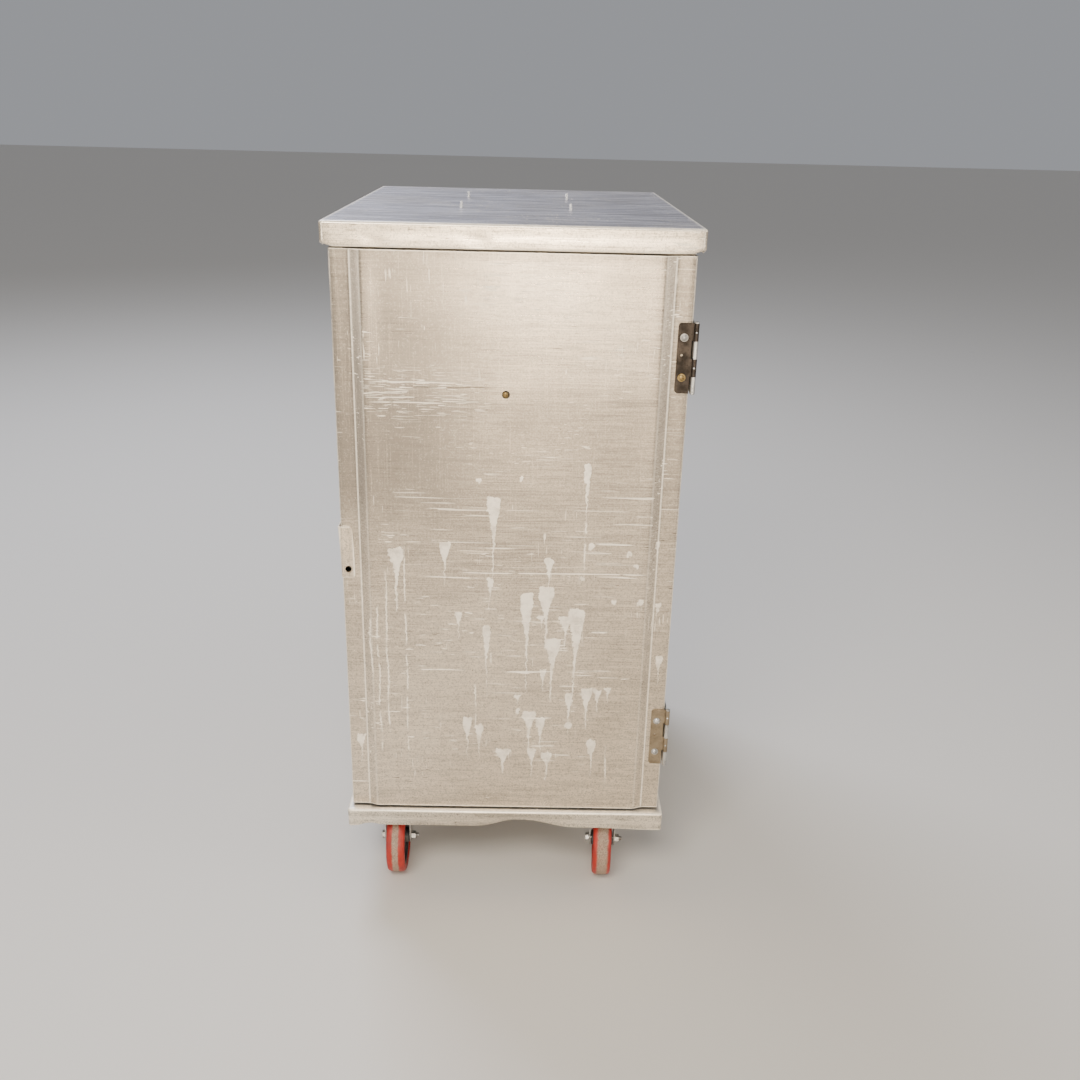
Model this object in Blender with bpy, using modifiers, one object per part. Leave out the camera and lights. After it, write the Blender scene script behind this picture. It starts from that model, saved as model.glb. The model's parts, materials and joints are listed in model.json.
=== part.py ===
"""An enclosed sheet-pan cabinet: an aluminium body with one door, on four swivel casters.

Metres, +Z up. The origin is on the floor under the middle of the cabinet, and the door is on the -Y side.
Each moving piece hangs from an empty that stands on its joint's axis.
"""

import math

import bmesh
import bpy
from mathutils import Matrix, Vector

# Sheet metal and the room left between neighbouring pieces.
SHEET = 0.0016
GAP = 0.0003

# The three rectangles, seen from above: body, roof cap and base deck.
BODY_WIDTH = 0.525
CAP_WIDTH = 0.5425
BASE_WIDTH = 0.535
OVERALL_DEPTH = 0.718
BASE_FRONT = -OVERALL_DEPTH / 2
CAP_FRONT = BASE_FRONT + 0.0067
CAP_BACK = OVERALL_DEPTH / 2
CAP_OVERHANG = 0.009
BODY_BACK = CAP_BACK - CAP_OVERHANG
BASE_BACK = BODY_BACK + 0.007

# Heights.
CAP_TOP = 1.124
CAP_SKIRT = 0.035
CAP_CORNER = 0.006
DECK_TOP = 0.1615
DECK_SKIRT = 0.0335
DECK_CORNER = 0.004
FOLD_RADIUS = 0.003
BODY_LOW = DECK_TOP + GAP
BODY_HIGH = CAP_TOP - SHEET - GAP

# The door lies over the front of the body and is hinged on the right.
DOOR_FRONT = CAP_FRONT + CAP_OVERHANG
DOOR_THICKNESS = 0.025
DOOR_BACK = DOOR_FRONT + DOOR_THICKNESS
DOOR_HALF_WIDTH = 0.2605
DOOR_LOW = DECK_TOP + 0.003
DOOR_HIGH = CAP_TOP - CAP_SKIRT - 0.003
PANEL_RAISE = 0.0055
PANEL_HALF_WIDTH = 0.2175
BEVEL_WIDTH = 0.0135
PANEL_FRONT = DOOR_FRONT - PANEL_RAISE
BODY_FRONT = DOOR_BACK + GAP
CENTRE_SCREW = (-0.0078, 0.8825)
STIFFENER_HALF_HEIGHT = 0.020
STIFFENER_HALF_WIDTH = 0.205

# The body's folded edges.
FRONT_RETURN = 0.018
BACK_RETURN = 0.020
HEADER_DROP = 0.052
HEADER_FLANGE = 0.030

# Butt hinges with four knuckles, from the top: door, body, door, body.
HINGE_HEIGHT = 0.1034
HINGE_LOWS = {"upper": 0.8892, "lower": 0.2530}
KNUCKLE_RADIUS = 0.0036
PIN_RADIUS = 0.0020
PIN_CLEARANCE = 0.0003
LEAF = 0.0016
KNUCKLE = HINGE_HEIGHT / 4
HINGE_X = BODY_WIDTH / 2 + 0.0028
LEAF_BACK = DOOR_FRONT - GAP
HINGE_Y = LEAF_BACK - KNUCKLE_RADIUS
LEAF_LEFT = 0.2392
LEAF_RIGHT = 0.2598
LEAF_SCREW_X = 0.2484
LEAF_SCREW_HEIGHTS = (0.0236, 0.0822)
# How far behind the pin the body leaf starts and ends its joggle, and where it ends.
JOGGLE_START = 0.0076
JOGGLE_END = 0.0156
BODY_LEAF_END = 0.0576
NOTCH_HALF_WIDTH = 0.010
NOTCH_CLEARANCE = 0.0008
PIN_EXTRA = 0.002

# The bent catch and pull on the door's free edge.
CATCH_LOW = 0.5838
CATCH_HIGH = 0.6692
CATCH_RIGHT = -0.2408
CATCH_LEFT = -0.2627
CATCH_HOLE = (-0.2508, 0.5981)
CATCH_HOLE_RADIUS = 0.0058

# The magnet that holds the door shut, and its strike.
MAGNET_MIDDLE = 0.630
MAGNET_HEIGHT = 0.050
MAGNET_WIDTH = 0.011
MAGNET_DEPTH = 0.012
MAGNET_TAB_REACH = 0.012
MAGNET_TAB_THICKNESS = 0.003
MAGNET_TAB_SHARE = 0.6
STRIKE_HALF_HEIGHT = 0.024
STRIKE_THICKNESS = 0.0012

# Racks for 18 by 26 in sheet pans, three inches apart.
PAN_LEVELS = 11
PAN_PITCH = 0.0762
FIRST_LEDGE = 0.235
LEDGE_THICKNESS = 0.002
LEDGE_TIP = 0.215
LEDGE_ROOT = 0.231
LEDGE_LEG = 0.014
LEDGE_FRONT = -0.302
LEDGE_BACK = 0.335
UPRIGHT_FACE = 0.2325
UPRIGHT_WIDTH = 0.016
UPRIGHT_WALL = 0.002
UPRIGHT_YS = (-0.250, 0.280)
UPRIGHT_HEADROOM = 0.012
WELD = 0.001

# Screws: head radius, head height, shank radius, shank length.
HINGE_SCREW = (0.0046, 0.0024, 0.0021, 0.0085)
DOOR_SCREW = (0.0050, 0.0026, 0.0021, 0.0105)
ROOF_SCREW = (0.0058, 0.0034, 0.0026, 0.0120)
ROOF_SCREW_X = 0.088
ROOF_SCREW_YS = (-0.092, 0.130)
HOLE_CLEARANCE = 0.0004

# Casters: a 5 by 1 1/4 in wheel in a pressed fork under a top plate.
WHEEL_RADIUS = 0.0635
WHEEL_WIDTH = 0.03175
TREAD_RADIUS = 0.050
HUB_BORE = 0.0045
HUB_LENGTH = 0.038
HUB_CORE_RADIUS = 0.0130
HUB_RIM = 0.004
HUB_RIM_INSET = 0.0020
HUB_WEB_SHARES = (0.45, 0.35)
TREAD_CHAMFER = 0.0045
TREAD_SHOULDER = 0.0080
CASTER_HEIGHT = 0.1553
CASTER_PLATE = (0.066, 0.096, 0.0026)
CASTER_RACE_RADIUS = 0.025
CASTER_RACE_LOW = 0.1470
RAIL_THICKNESS = 0.004
RAIL_HALF_LENGTH = 0.245
RAIL_HALF_WIDTH = 0.052
SWIVEL_LEAD = 0.035
FORK_OUTER = 0.046
FORK_WALL = 0.0028
FORK_CROWN_TOP = 0.1460
FORK_ROOF = 0.1345
FORK_ROOF_THICKNESS = 0.004
FORK_CROWN_RADIUS = 0.026
FORK_FOOT = 0.013
FORK_BACK = 0.024
FORK_FRONT = 0.038
FORK_SHOULDER = (0.044, 0.050)
FORK_SKIRT = (0.008, 0.018)
KINGPIN_RADIUS = 0.006
KINGPIN_HEAD_RADII = (0.0105, 0.0090)
KINGPIN_HEAD = 0.0035
AXLE_RADIUS = 0.004
AXLE_HEX = 0.0127
AXLE_HEAD = 0.0060
AXLE_NUT = 0.0075
AXLE_END = 0.0055
CASTER_X = 0.182
FRONT_CASTER_SHIFT = -0.008
CASTER_Y = 0.258
# Name, side in X, side in Y, and the angle in degrees that each caster has swivelled to.
CASTERS = (
    ("front_left", -1, -1, 0.0),
    ("front_right", 1, -1, -3.3),
    ("rear_left", -1, 1, 5.0),
    ("rear_right", 1, 1, -8.0),
)

WHEEL_STEPS = 24
ROUND_STEPS = 20
SMALL_STEPS = 12
SMOOTH_ANGLE = math.radians(35)
CUT = 0.02


def clear_scene():
    """Empties the scene."""
    for obj in list(bpy.data.objects):
        bpy.data.objects.remove(obj)


def new_collection(name):
    """A collection linked to the scene."""
    made = bpy.data.collections.new(name)
    bpy.context.scene.collection.children.link(made)
    return made


clear_scene()
PARTS = new_collection("pan_cabinet")
TOOLS = new_collection("cutters")


def new_material(name, colour, roughness, metallic):
    """A Principled BSDF material."""
    made = bpy.data.materials.new(name)
    made.use_nodes = True
    shader = made.node_tree.nodes["Principled BSDF"]
    shader.inputs["Base Color"].default_value = (*colour, 1.0)
    shader.inputs["Roughness"].default_value = roughness
    shader.inputs["Metallic"].default_value = metallic
    return made


ALUMINIUM = new_material("aluminium_sheet", (0.66, 0.61, 0.55), 0.42, 1.0)
RACK_ALUMINIUM = new_material("rack_aluminium", (0.62, 0.61, 0.60), 0.38, 1.0)
DARK_STEEL = new_material("tarnished_steel", (0.12, 0.10, 0.08), 0.50, 0.8)
ZINC_STEEL = new_material("zinc_plated_steel", (0.55, 0.54, 0.52), 0.35, 1.0)
NICKEL = new_material("nickel_plated_steel", (0.42, 0.36, 0.30), 0.35, 0.9)
BRASS = new_material("brass", (0.55, 0.42, 0.20), 0.32, 1.0)
TREAD = new_material("red_polyurethane", (0.70, 0.10, 0.05), 0.45, 0.0)
HUB = new_material("hub_plastic", (0.05, 0.055, 0.05), 0.50, 0.0)
MAGNET = new_material("magnet_housing", (0.35, 0.33, 0.30), 0.55, 0.0)


def own_material(base, name):
    """A material of the piece's own, like base."""
    made = base.copy()
    made.name = name + "_" + base.name
    return made


def add_object(name, mesh, base, parent=None, tool=False):
    """Puts a mesh in the scene, as a part with its own material or as a hidden cutting tool."""
    obj = bpy.data.objects.new(name, mesh)
    if tool:
        TOOLS.objects.link(obj)
        obj.hide_render = True
        obj.display_type = "WIRE"
    else:
        PARTS.objects.link(obj)
        mesh.materials.append(own_material(base, name))
    obj.parent = parent
    return obj


def add_empty(name, location, parent=None, turn=0.0):
    """An empty on a joint's axis, turned about Z."""
    obj = bpy.data.objects.new(name, None)
    PARTS.objects.link(obj)
    obj.parent = parent
    obj.location = location
    obj.rotation_euler = (0.0, 0.0, turn)
    return obj


def mesh_from(shape, name):
    """Turns a bmesh into a mesh with its round faces shaded smooth."""
    mesh = bpy.data.meshes.new(name)
    shape.to_mesh(mesh)
    shape.free()
    mesh.shade_smooth()
    mesh.set_sharp_from_angle(angle=SMOOTH_ANGLE)
    return mesh


def add_box(name, low, high, base=None, parent=None, tool=False):
    """A block between two corners. The object's location is the block's middle."""
    low = Vector(low)
    high = Vector(high)
    shape = bmesh.new()
    bmesh.ops.create_cube(shape, size=1.0)
    bmesh.ops.scale(shape, vec=high - low, verts=shape.verts)
    obj = add_object(name, mesh_from(shape, name), base, parent, tool)
    obj.location = (low + high) / 2
    return obj


def add_cylinder(name, middle, radius, length, axis, steps, base=None, parent=None, tool=False):
    """A cylinder about an axis, "X", "Y" or "Z", through its middle."""
    shape = bmesh.new()
    bmesh.ops.create_cone(
        shape, cap_ends=True, segments=steps, radius1=radius, radius2=radius, depth=length
    )
    turns = {"X": (0.0, math.pi / 2, 0.0), "Y": (math.pi / 2, 0.0, 0.0), "Z": (0.0, 0.0, 0.0)}
    obj = add_object(name, mesh_from(shape, name), base, parent, tool)
    obj.location = middle
    obj.rotation_euler = turns[axis]
    return obj


def add_turned(name, profile, steps, base, parent=None, closed=False):
    """A turned piece: a profile of (radius, height) down its outer side, swept about Z."""
    shape = bmesh.new()
    points = [shape.verts.new((radius, 0.0, height)) for radius, height in profile]
    for first, second in zip(points, points[1:]):
        shape.edges.new((first, second))
    if closed:
        shape.edges.new((points[-1], points[0]))
    mesh = bpy.data.meshes.new(name)
    shape.to_mesh(mesh)
    shape.free()
    obj = add_object(name, mesh, base, parent)
    sweep = obj.modifiers.new("sweep", "SCREW")
    sweep.steps = steps
    sweep.render_steps = steps
    sweep.use_merge_vertices = True
    sweep.merge_threshold = 0.00001
    sweep.use_smooth_shade = True
    return obj


def add_bent_sheet(name, path, low, high, base, parent=None, thickness=SHEET, offset=-1.0):
    """A sheet folded along a path in XY, from low to high. Offset is the side that gets thickened."""
    shape = bmesh.new()
    points = [shape.verts.new((x, y, low)) for x, y in path]
    folds = [shape.edges.new(pair) for pair in zip(points, points[1:])]
    swept = bmesh.ops.extrude_edge_only(shape, edges=folds)
    raised = [item for item in swept["geom"] if isinstance(item, bmesh.types.BMVert)]
    bmesh.ops.translate(shape, vec=(0.0, 0.0, high - low), verts=raised)
    obj = add_object(name, mesh_from(shape, name), base, parent)
    add_thickness(obj, thickness, offset)
    return obj


def add_thickness(obj, thickness, offset):
    """Thickens an open surface into a closed sheet."""
    solid = obj.modifiers.new("sheet", "SOLIDIFY")
    solid.thickness = thickness
    solid.offset = offset
    solid.use_even_offset = True
    return solid


def add_tray(name, low, high, corner, open_below, base):
    """A folded tray between two corners: a flat face, four skirts, round corners, and one open side."""
    obj = add_box(name, low, high, base)
    shape = bmesh.new()
    shape.from_mesh(obj.data)
    open_side = min if open_below else max
    lid = open_side(shape.faces, key=lambda face: face.calc_center_median().z)
    bmesh.ops.delete(shape, geom=[lid], context="FACES_ONLY")
    uprights = [e for e in shape.edges if abs(e.verts[0].co.z - e.verts[1].co.z) > corner]
    bmesh.ops.bevel(
        shape, geom=uprights, offset=corner, segments=4, profile=0.5, affect="EDGES"
    )
    flat = max(shape.faces, key=lambda face: abs(face.normal.z) * face.calc_area())
    bmesh.ops.bevel(
        shape, geom=list(flat.edges), offset=FOLD_RADIUS, segments=2, profile=0.5, affect="EDGES"
    )
    shape.to_mesh(obj.data)
    shape.free()
    obj.data.shade_smooth()
    obj.data.set_sharp_from_angle(angle=SMOOTH_ANGLE)
    add_thickness(obj, SHEET, -1.0)
    return obj


def outline_solid(name, points, thickness, base, parent=None, tool=False):
    """A flat outline in XY, thickened about Z, as a mesh that Booleans can use."""
    curve = bpy.data.curves.new(name, "CURVE")
    curve.dimensions = "2D"
    curve.fill_mode = "BOTH"
    curve.extrude = thickness / 2
    spline = curve.splines.new("POLY")
    spline.points.add(len(points) - 1)
    for point, (x, y) in zip(spline.points, points):
        point.co = (x, y, 0.0, 1.0)
    spline.use_cyclic_u = True
    holder = bpy.data.objects.new(name + "_outline", curve)
    TOOLS.objects.link(holder)
    bpy.context.view_layer.update()
    seen = holder.evaluated_get(bpy.context.evaluated_depsgraph_get())
    mesh = bpy.data.meshes.new_from_object(seen)
    shape = bmesh.new()
    shape.from_mesh(mesh)
    bmesh.ops.remove_doubles(shape, verts=shape.verts, dist=0.000001)
    bmesh.ops.recalc_face_normals(shape, faces=shape.faces)
    shape.to_mesh(mesh)
    shape.free()
    bpy.data.objects.remove(holder)
    return add_object(name, mesh, base, parent, tool)


def combine(obj, tool, operation):
    """Joins a tool to an object or cuts it away, with the exact solver."""
    step = obj.modifiers.new(operation.lower() + "_" + tool.name, "BOOLEAN")
    step.operation = operation
    step.object = tool
    step.solver = "EXACT"
    return step


def drill(obj, middle, radius, length, axis, parent=None):
    """Cuts a round hole through an object."""
    name = obj.name + "_drill_" + str(len(obj.modifiers))
    tool = add_cylinder(name, middle, radius, length, axis, SMALL_STEPS, parent=parent, tool=True)
    combine(obj, tool, "DIFFERENCE")


def arc(middle, radius, start, end, count):
    """Points along an arc, with its angles in degrees."""
    points = []
    for i in range(count + 1):
        angle = math.radians(start + (end - start) * i / count)
        points.append((middle[0] + radius * math.cos(angle), middle[1] + radius * math.sin(angle)))
    return points


def add_screw(name, size, place, turn, base, parent=None):
    """A round-head screw. Its head stands on place, and its shank runs along local -Z."""
    head_radius, head_height, shank_radius, shank_length = size
    profile = [
        (0.0, head_height),
        (head_radius * 0.55, head_height * 0.92),
        (head_radius * 0.88, head_height * 0.55),
        (head_radius, 0.0),
        (shank_radius, 0.0),
        (shank_radius, -shank_length),
        (0.0, -shank_length),
    ]
    obj = add_turned(name, profile, SMALL_STEPS, base, parent)
    obj.location = place
    obj.rotation_euler = turn
    return obj


def make_cap():
    """The roof: a folded tray turned down over the top of the body, with four screw holes."""
    low = (-CAP_WIDTH / 2, CAP_FRONT, CAP_TOP - CAP_SKIRT)
    high = (CAP_WIDTH / 2, CAP_BACK, CAP_TOP)
    cap = add_tray("top_cap", low, high, CAP_CORNER, True, ALUMINIUM)
    for x, y in roof_screw_places():
        drill(cap, (x, y, CAP_TOP), ROOF_SCREW[2] + HOLE_CLEARANCE, CUT, "Z")


def roof_screw_places():
    """Where the four screws stand in the roof."""
    return [(side * ROOF_SCREW_X, y) for y in ROOF_SCREW_YS for side in (-1, 1)]


def make_roof_screws():
    """Four screws put in from inside, with their ends standing out of the roof."""
    under_roof = CAP_TOP - SHEET - GAP
    for number, (x, y) in enumerate(roof_screw_places(), start=1):
        add_screw(
            f"roof_screw_{number}", ROOF_SCREW, (x, y, under_roof), (math.pi, 0.0, 0.0), ZINC_STEEL
        )


def make_body():
    """Two folded side panels, the back panel and the header over the door opening."""
    half = BODY_WIDTH / 2
    for name, side in (("left_side_panel", -1), ("right_side_panel", 1)):
        path = [
            (side * (half - FRONT_RETURN), BODY_FRONT),
            (side * half, BODY_FRONT),
            (side * half, BODY_BACK),
            (side * (half - BACK_RETURN), BODY_BACK),
        ]
        add_bent_sheet(name, path, BODY_LOW, BODY_HIGH, ALUMINIUM, offset=side)
    inside = half - SHEET - GAP
    back = BODY_BACK - SHEET - GAP
    add_box(
        "back_panel", (-inside, back - SHEET, BODY_LOW), (inside, back, BODY_HIGH), ALUMINIUM
    )
    reach = half - FRONT_RETURN - GAP
    header_path = [
        (BODY_FRONT, BODY_HIGH - HEADER_DROP),
        (BODY_FRONT, BODY_HIGH),
        (BODY_FRONT + HEADER_FLANGE, BODY_HIGH),
    ]
    header = add_bent_sheet("front_header", header_path, -reach, reach, ALUMINIUM, offset=-1.0)
    header.matrix_basis = across_x()


def across_x():
    """Stands a path drawn in (Y, Z) up, and runs its sheet along X."""
    return Matrix(((0, 0, 1, 0), (1, 0, 0, 0), (0, 1, 0, 0), (0, 0, 0, 1)))


def make_base():
    """The base deck, a tray turned down, and the two rails that spread the casters' load."""
    low = (-BASE_WIDTH / 2, BASE_FRONT, DECK_TOP - DECK_SKIRT)
    high = (BASE_WIDTH / 2, BASE_BACK, DECK_TOP)
    add_tray("base_deck", low, high, DECK_CORNER, True, ALUMINIUM)
    rail_low = CASTER_HEIGHT + GAP
    for name, side in (("front_caster_rail", -1), ("rear_caster_rail", 1)):
        middle = side * CASTER_Y
        add_box(
            name,
            (-RAIL_HALF_LENGTH, middle - RAIL_HALF_WIDTH, rail_low),
            (RAIL_HALF_LENGTH, middle + RAIL_HALF_WIDTH, rail_low + RAIL_THICKNESS),
            ZINC_STEEL,
        )


def make_rack(name, side):
    """A rack for sheet pans: two square uprights and a ladder of angle ledges, welded into one piece."""
    wall = BODY_WIDTH / 2 - SHEET - GAP
    xs = sorted((side * UPRIGHT_FACE, side * wall))
    half = UPRIGHT_WIDTH / 2
    uprights = []
    for number, y in enumerate(UPRIGHT_YS):
        low = (xs[0], y - half, BODY_LOW + GAP)
        high = (xs[1], y + half, BODY_HIGH - UPRIGHT_HEADROOM)
        last = number > 0
        upright = add_box(
            name if not last else name + "_second", low, high, RACK_ALUMINIUM, tool=last
        )
        hollow = add_box(
            f"{name}_hollow_{number}",
            (low[0] + UPRIGHT_WALL, low[1] + UPRIGHT_WALL, low[2] - CUT),
            (high[0] - UPRIGHT_WALL, high[1] - UPRIGHT_WALL, high[2] + CUT),
            tool=True,
        )
        combine(upright, hollow, "DIFFERENCE")
        uprights.append(upright)
    rack = uprights[0]
    combine(rack, uprights[1], "UNION")
    outline = [
        (side * LEDGE_TIP, 0.0),
        (side * (UPRIGHT_FACE + WELD), 0.0),
        (side * (UPRIGHT_FACE + WELD), LEDGE_LEG),
        (side * LEDGE_ROOT, LEDGE_LEG),
        (side * LEDGE_ROOT, LEDGE_THICKNESS),
        (side * LEDGE_TIP, LEDGE_THICKNESS),
    ]
    ledges = outline_solid(name + "_ledges", outline, LEDGE_BACK - LEDGE_FRONT, None, tool=True)
    ledges.rotation_euler = (math.pi / 2, 0.0, 0.0)
    ledges.location = (0.0, (LEDGE_FRONT + LEDGE_BACK) / 2, FIRST_LEDGE - LEDGE_THICKNESS)
    ladder = ledges.modifiers.new("ladder", "ARRAY")
    ladder.count = PAN_LEVELS
    ladder.use_relative_offset = False
    ladder.use_constant_offset = True
    ladder.constant_offset_displace = (0.0, PAN_PITCH, 0.0)
    combine(rack, ledges, "UNION")


def make_magnet():
    """A magnet on the opening's left edge, with a tab behind the folded edge that holds it."""
    edge = -(BODY_WIDTH / 2 - FRONT_RETURN) + GAP
    front = BODY_FRONT + SHEET
    half = MAGNET_HEIGHT / 2
    magnet = add_box(
        "door_magnet",
        (edge, front, MAGNET_MIDDLE - half),
        (edge + MAGNET_WIDTH, front + MAGNET_DEPTH, MAGNET_MIDDLE + half),
        MAGNET,
    )
    behind = BODY_FRONT + SHEET + GAP
    tab_half = half * MAGNET_TAB_SHARE
    tab = add_box(
        "door_magnet_tab",
        (edge - MAGNET_TAB_REACH, behind, MAGNET_MIDDLE - tab_half),
        (edge + 2 * WELD, behind + MAGNET_TAB_THICKNESS, MAGNET_MIDDLE + tab_half),
        tool=True,
    )
    combine(magnet, tab, "UNION")


def make_door(axis):
    """The door's skin, its inner liner folded over both ends, its stiffener, strike and centre screw."""
    shift = Matrix.Translation(-axis.location)
    bevel_end = PANEL_HALF_WIDTH + BEVEL_WIDTH
    right_side = [
        (DOOR_HALF_WIDTH, DOOR_BACK),
        (DOOR_HALF_WIDTH, DOOR_FRONT),
        (bevel_end, DOOR_FRONT),
        (PANEL_HALF_WIDTH, PANEL_FRONT),
    ]
    path = right_side + [(-x, y) for x, y in reversed(right_side)]
    skin = add_bent_sheet("door_skin", path, DOOR_LOW, DOOR_HIGH, ALUMINIUM, offset=-1.0)
    inside = DOOR_HALF_WIDTH - SHEET - GAP
    front = DOOR_FRONT + SHEET + GAP
    back = DOOR_BACK - SHEET - GAP
    tray = [(front, DOOR_LOW), (DOOR_BACK, DOOR_LOW), (DOOR_BACK, DOOR_HIGH), (front, DOOR_HIGH)]
    liner = add_bent_sheet("door_liner", tray, -inside, inside, ALUMINIUM, offset=1.0)
    liner.matrix_basis = across_x()
    pieces = [skin, liner]
    screw_x, screw_z = CENTRE_SCREW
    panel_back = PANEL_FRONT + SHEET + GAP
    low = screw_z - STIFFENER_HALF_HEIGHT
    high = screw_z + STIFFENER_HALF_HEIGHT
    rib = [(back, low), (panel_back, low), (panel_back, high), (back, high)]
    reach = STIFFENER_HALF_WIDTH
    stiffener = add_bent_sheet("door_stiffener", rib, -reach, reach, RACK_ALUMINIUM, offset=-1.0)
    stiffener.matrix_basis = across_x()
    pieces.append(stiffener)
    hole = DOOR_SCREW[2] + HOLE_CLEARANCE
    for obj in (skin, stiffener):
        drill(obj, (screw_x, PANEL_FRONT, screw_z), hole, CUT / 2, "Y")
    pieces.append(
        add_screw(
            "door_centre_screw",
            DOOR_SCREW,
            (screw_x, PANEL_FRONT - GAP, screw_z),
            (math.pi / 2, 0.0, 0.0),
            BRASS,
        )
    )
    strike_left = -(BODY_WIDTH / 2 - FRONT_RETURN) + GAP
    strike_back = DOOR_BACK + GAP
    pieces.append(
        add_box(
            "door_strike_plate",
            (strike_left, strike_back, MAGNET_MIDDLE - STRIKE_HALF_HEIGHT),
            (
                strike_left + MAGNET_WIDTH,
                strike_back + STRIKE_THICKNESS,
                MAGNET_MIDDLE + STRIKE_HALF_HEIGHT,
            ),
            ZINC_STEEL,
        )
    )
    for obj in pieces:
        obj.parent = axis
        obj.matrix_parent_inverse = shift
    return skin


def make_catch(axis):
    """The pull on the door's free edge: a plate on the flange, folded back, with a hole."""
    plate_front = LEAF_BACK - SHEET
    path = [
        (CATCH_RIGHT, plate_front),
        (CATCH_LEFT, plate_front),
        (CATCH_LEFT, DOOR_BACK),
    ]
    catch = add_bent_sheet("door_catch", path, CATCH_LOW, CATCH_HIGH, ALUMINIUM, offset=-1.0)
    x, z = CATCH_HOLE
    drill(catch, (x, plate_front, z), CATCH_HOLE_RADIUS, CUT / 2, "Y")
    catch.parent = axis
    catch.matrix_parent_inverse = Matrix.Translation(-axis.location)


def make_hinge(name, low, axis, skin, leaf_base, screw_bases):
    """A butt hinge: a leaf on the door's flange, a joggled leaf on the body's side, and a pin."""
    shift = Matrix.Translation(-axis.location)
    high = low + HINGE_HEIGHT
    leaf_front = LEAF_BACK - LEAF
    door_leaf = add_box(
        f"{name}_hinge_door_leaf",
        (LEAF_LEFT, leaf_front, low),
        (LEAF_RIGHT, LEAF_BACK, high),
        leaf_base,
    )
    near_pin = HINGE_X - KNUCKLE_RADIUS + LEAF / 2
    on_body = BODY_WIDTH / 2 + GAP + LEAF / 2
    body_path = [
        (near_pin, HINGE_Y),
        (near_pin, HINGE_Y + JOGGLE_START),
        (on_body, HINGE_Y + JOGGLE_END),
        (on_body, HINGE_Y + BODY_LEAF_END),
    ]
    body_leaf = add_bent_sheet(
        f"{name}_hinge_body_leaf", body_path, low, high, ZINC_STEEL, thickness=LEAF, offset=0.0
    )
    for number in range(4):
        start = low + number * KNUCKLE + GAP / 2
        end = low + (number + 1) * KNUCKLE - GAP / 2
        on_door = number % 2 == 1
        owner = door_leaf if on_door else body_leaf
        if on_door:
            web = add_box(
                f"{name}_web_{number}",
                (LEAF_RIGHT - WELD, leaf_front, start),
                (HINGE_X, LEAF_BACK, end),
                tool=True,
            )
            combine(door_leaf, web, "UNION")
            notch = add_box(
                f"{name}_notch_{number}",
                (HINGE_X - NOTCH_HALF_WIDTH, HINGE_Y - NOTCH_HALF_WIDTH, start - GAP),
                (
                    HINGE_X + NOTCH_HALF_WIDTH,
                    HINGE_Y + KNUCKLE_RADIUS + NOTCH_CLEARANCE,
                    end + GAP,
                ),
                tool=True,
            )
            combine(body_leaf, notch, "DIFFERENCE")
        eye = add_cylinder(
            f"{name}_eye_{number}",
            (HINGE_X, HINGE_Y, (start + end) / 2),
            KNUCKLE_RADIUS,
            end - start,
            "Z",
            SMALL_STEPS + 4,
            tool=True,
        )
        combine(owner, eye, "UNION")
    middle = (HINGE_X, HINGE_Y, (low + high) / 2)
    for leaf in (door_leaf, body_leaf):
        drill(leaf, middle, PIN_RADIUS + PIN_CLEARANCE, HINGE_HEIGHT + CUT, "Z")
    pin_length = HINGE_HEIGHT + PIN_EXTRA
    add_cylinder(
        f"{name}_hinge_pin", middle, PIN_RADIUS, pin_length, "Z", SMALL_STEPS, ZINC_STEEL
    )
    pieces = [door_leaf]
    hole = HINGE_SCREW[2] + HOLE_CLEARANCE
    for number, (height, base) in enumerate(zip(LEAF_SCREW_HEIGHTS, screw_bases), start=1):
        place = (LEAF_SCREW_X, leaf_front - GAP, low + height)
        for obj in (door_leaf, skin):
            drill(obj, place, hole, CUT, "Y")
        pieces.append(
            add_screw(
                f"{name}_hinge_screw_{number}", HINGE_SCREW, place, (math.pi / 2, 0.0, 0.0), base
            )
        )
    for obj in pieces:
        obj.parent = axis
        obj.matrix_parent_inverse = shift


def fork_side_outline():
    """A fork leg from the side, in (Y, Z): wide under the crown, with a round foot at the axle."""
    foot = (-SWIVEL_LEAD, WHEEL_RADIUS)
    top = FORK_ROOF + FORK_ROOF_THICKNESS
    outline = [(FORK_BACK, top), (FORK_BACK, FORK_ROOF - FORK_SKIRT[0])]
    outline += reversed(arc(foot, FORK_FOOT, -190, 12, 8))
    outline += [
        (-FORK_SHOULDER[1], FORK_ROOF - FORK_SKIRT[1]),
        (-FORK_SHOULDER[0], FORK_ROOF),
        (-FORK_FRONT, top),
    ]
    return outline


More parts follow.
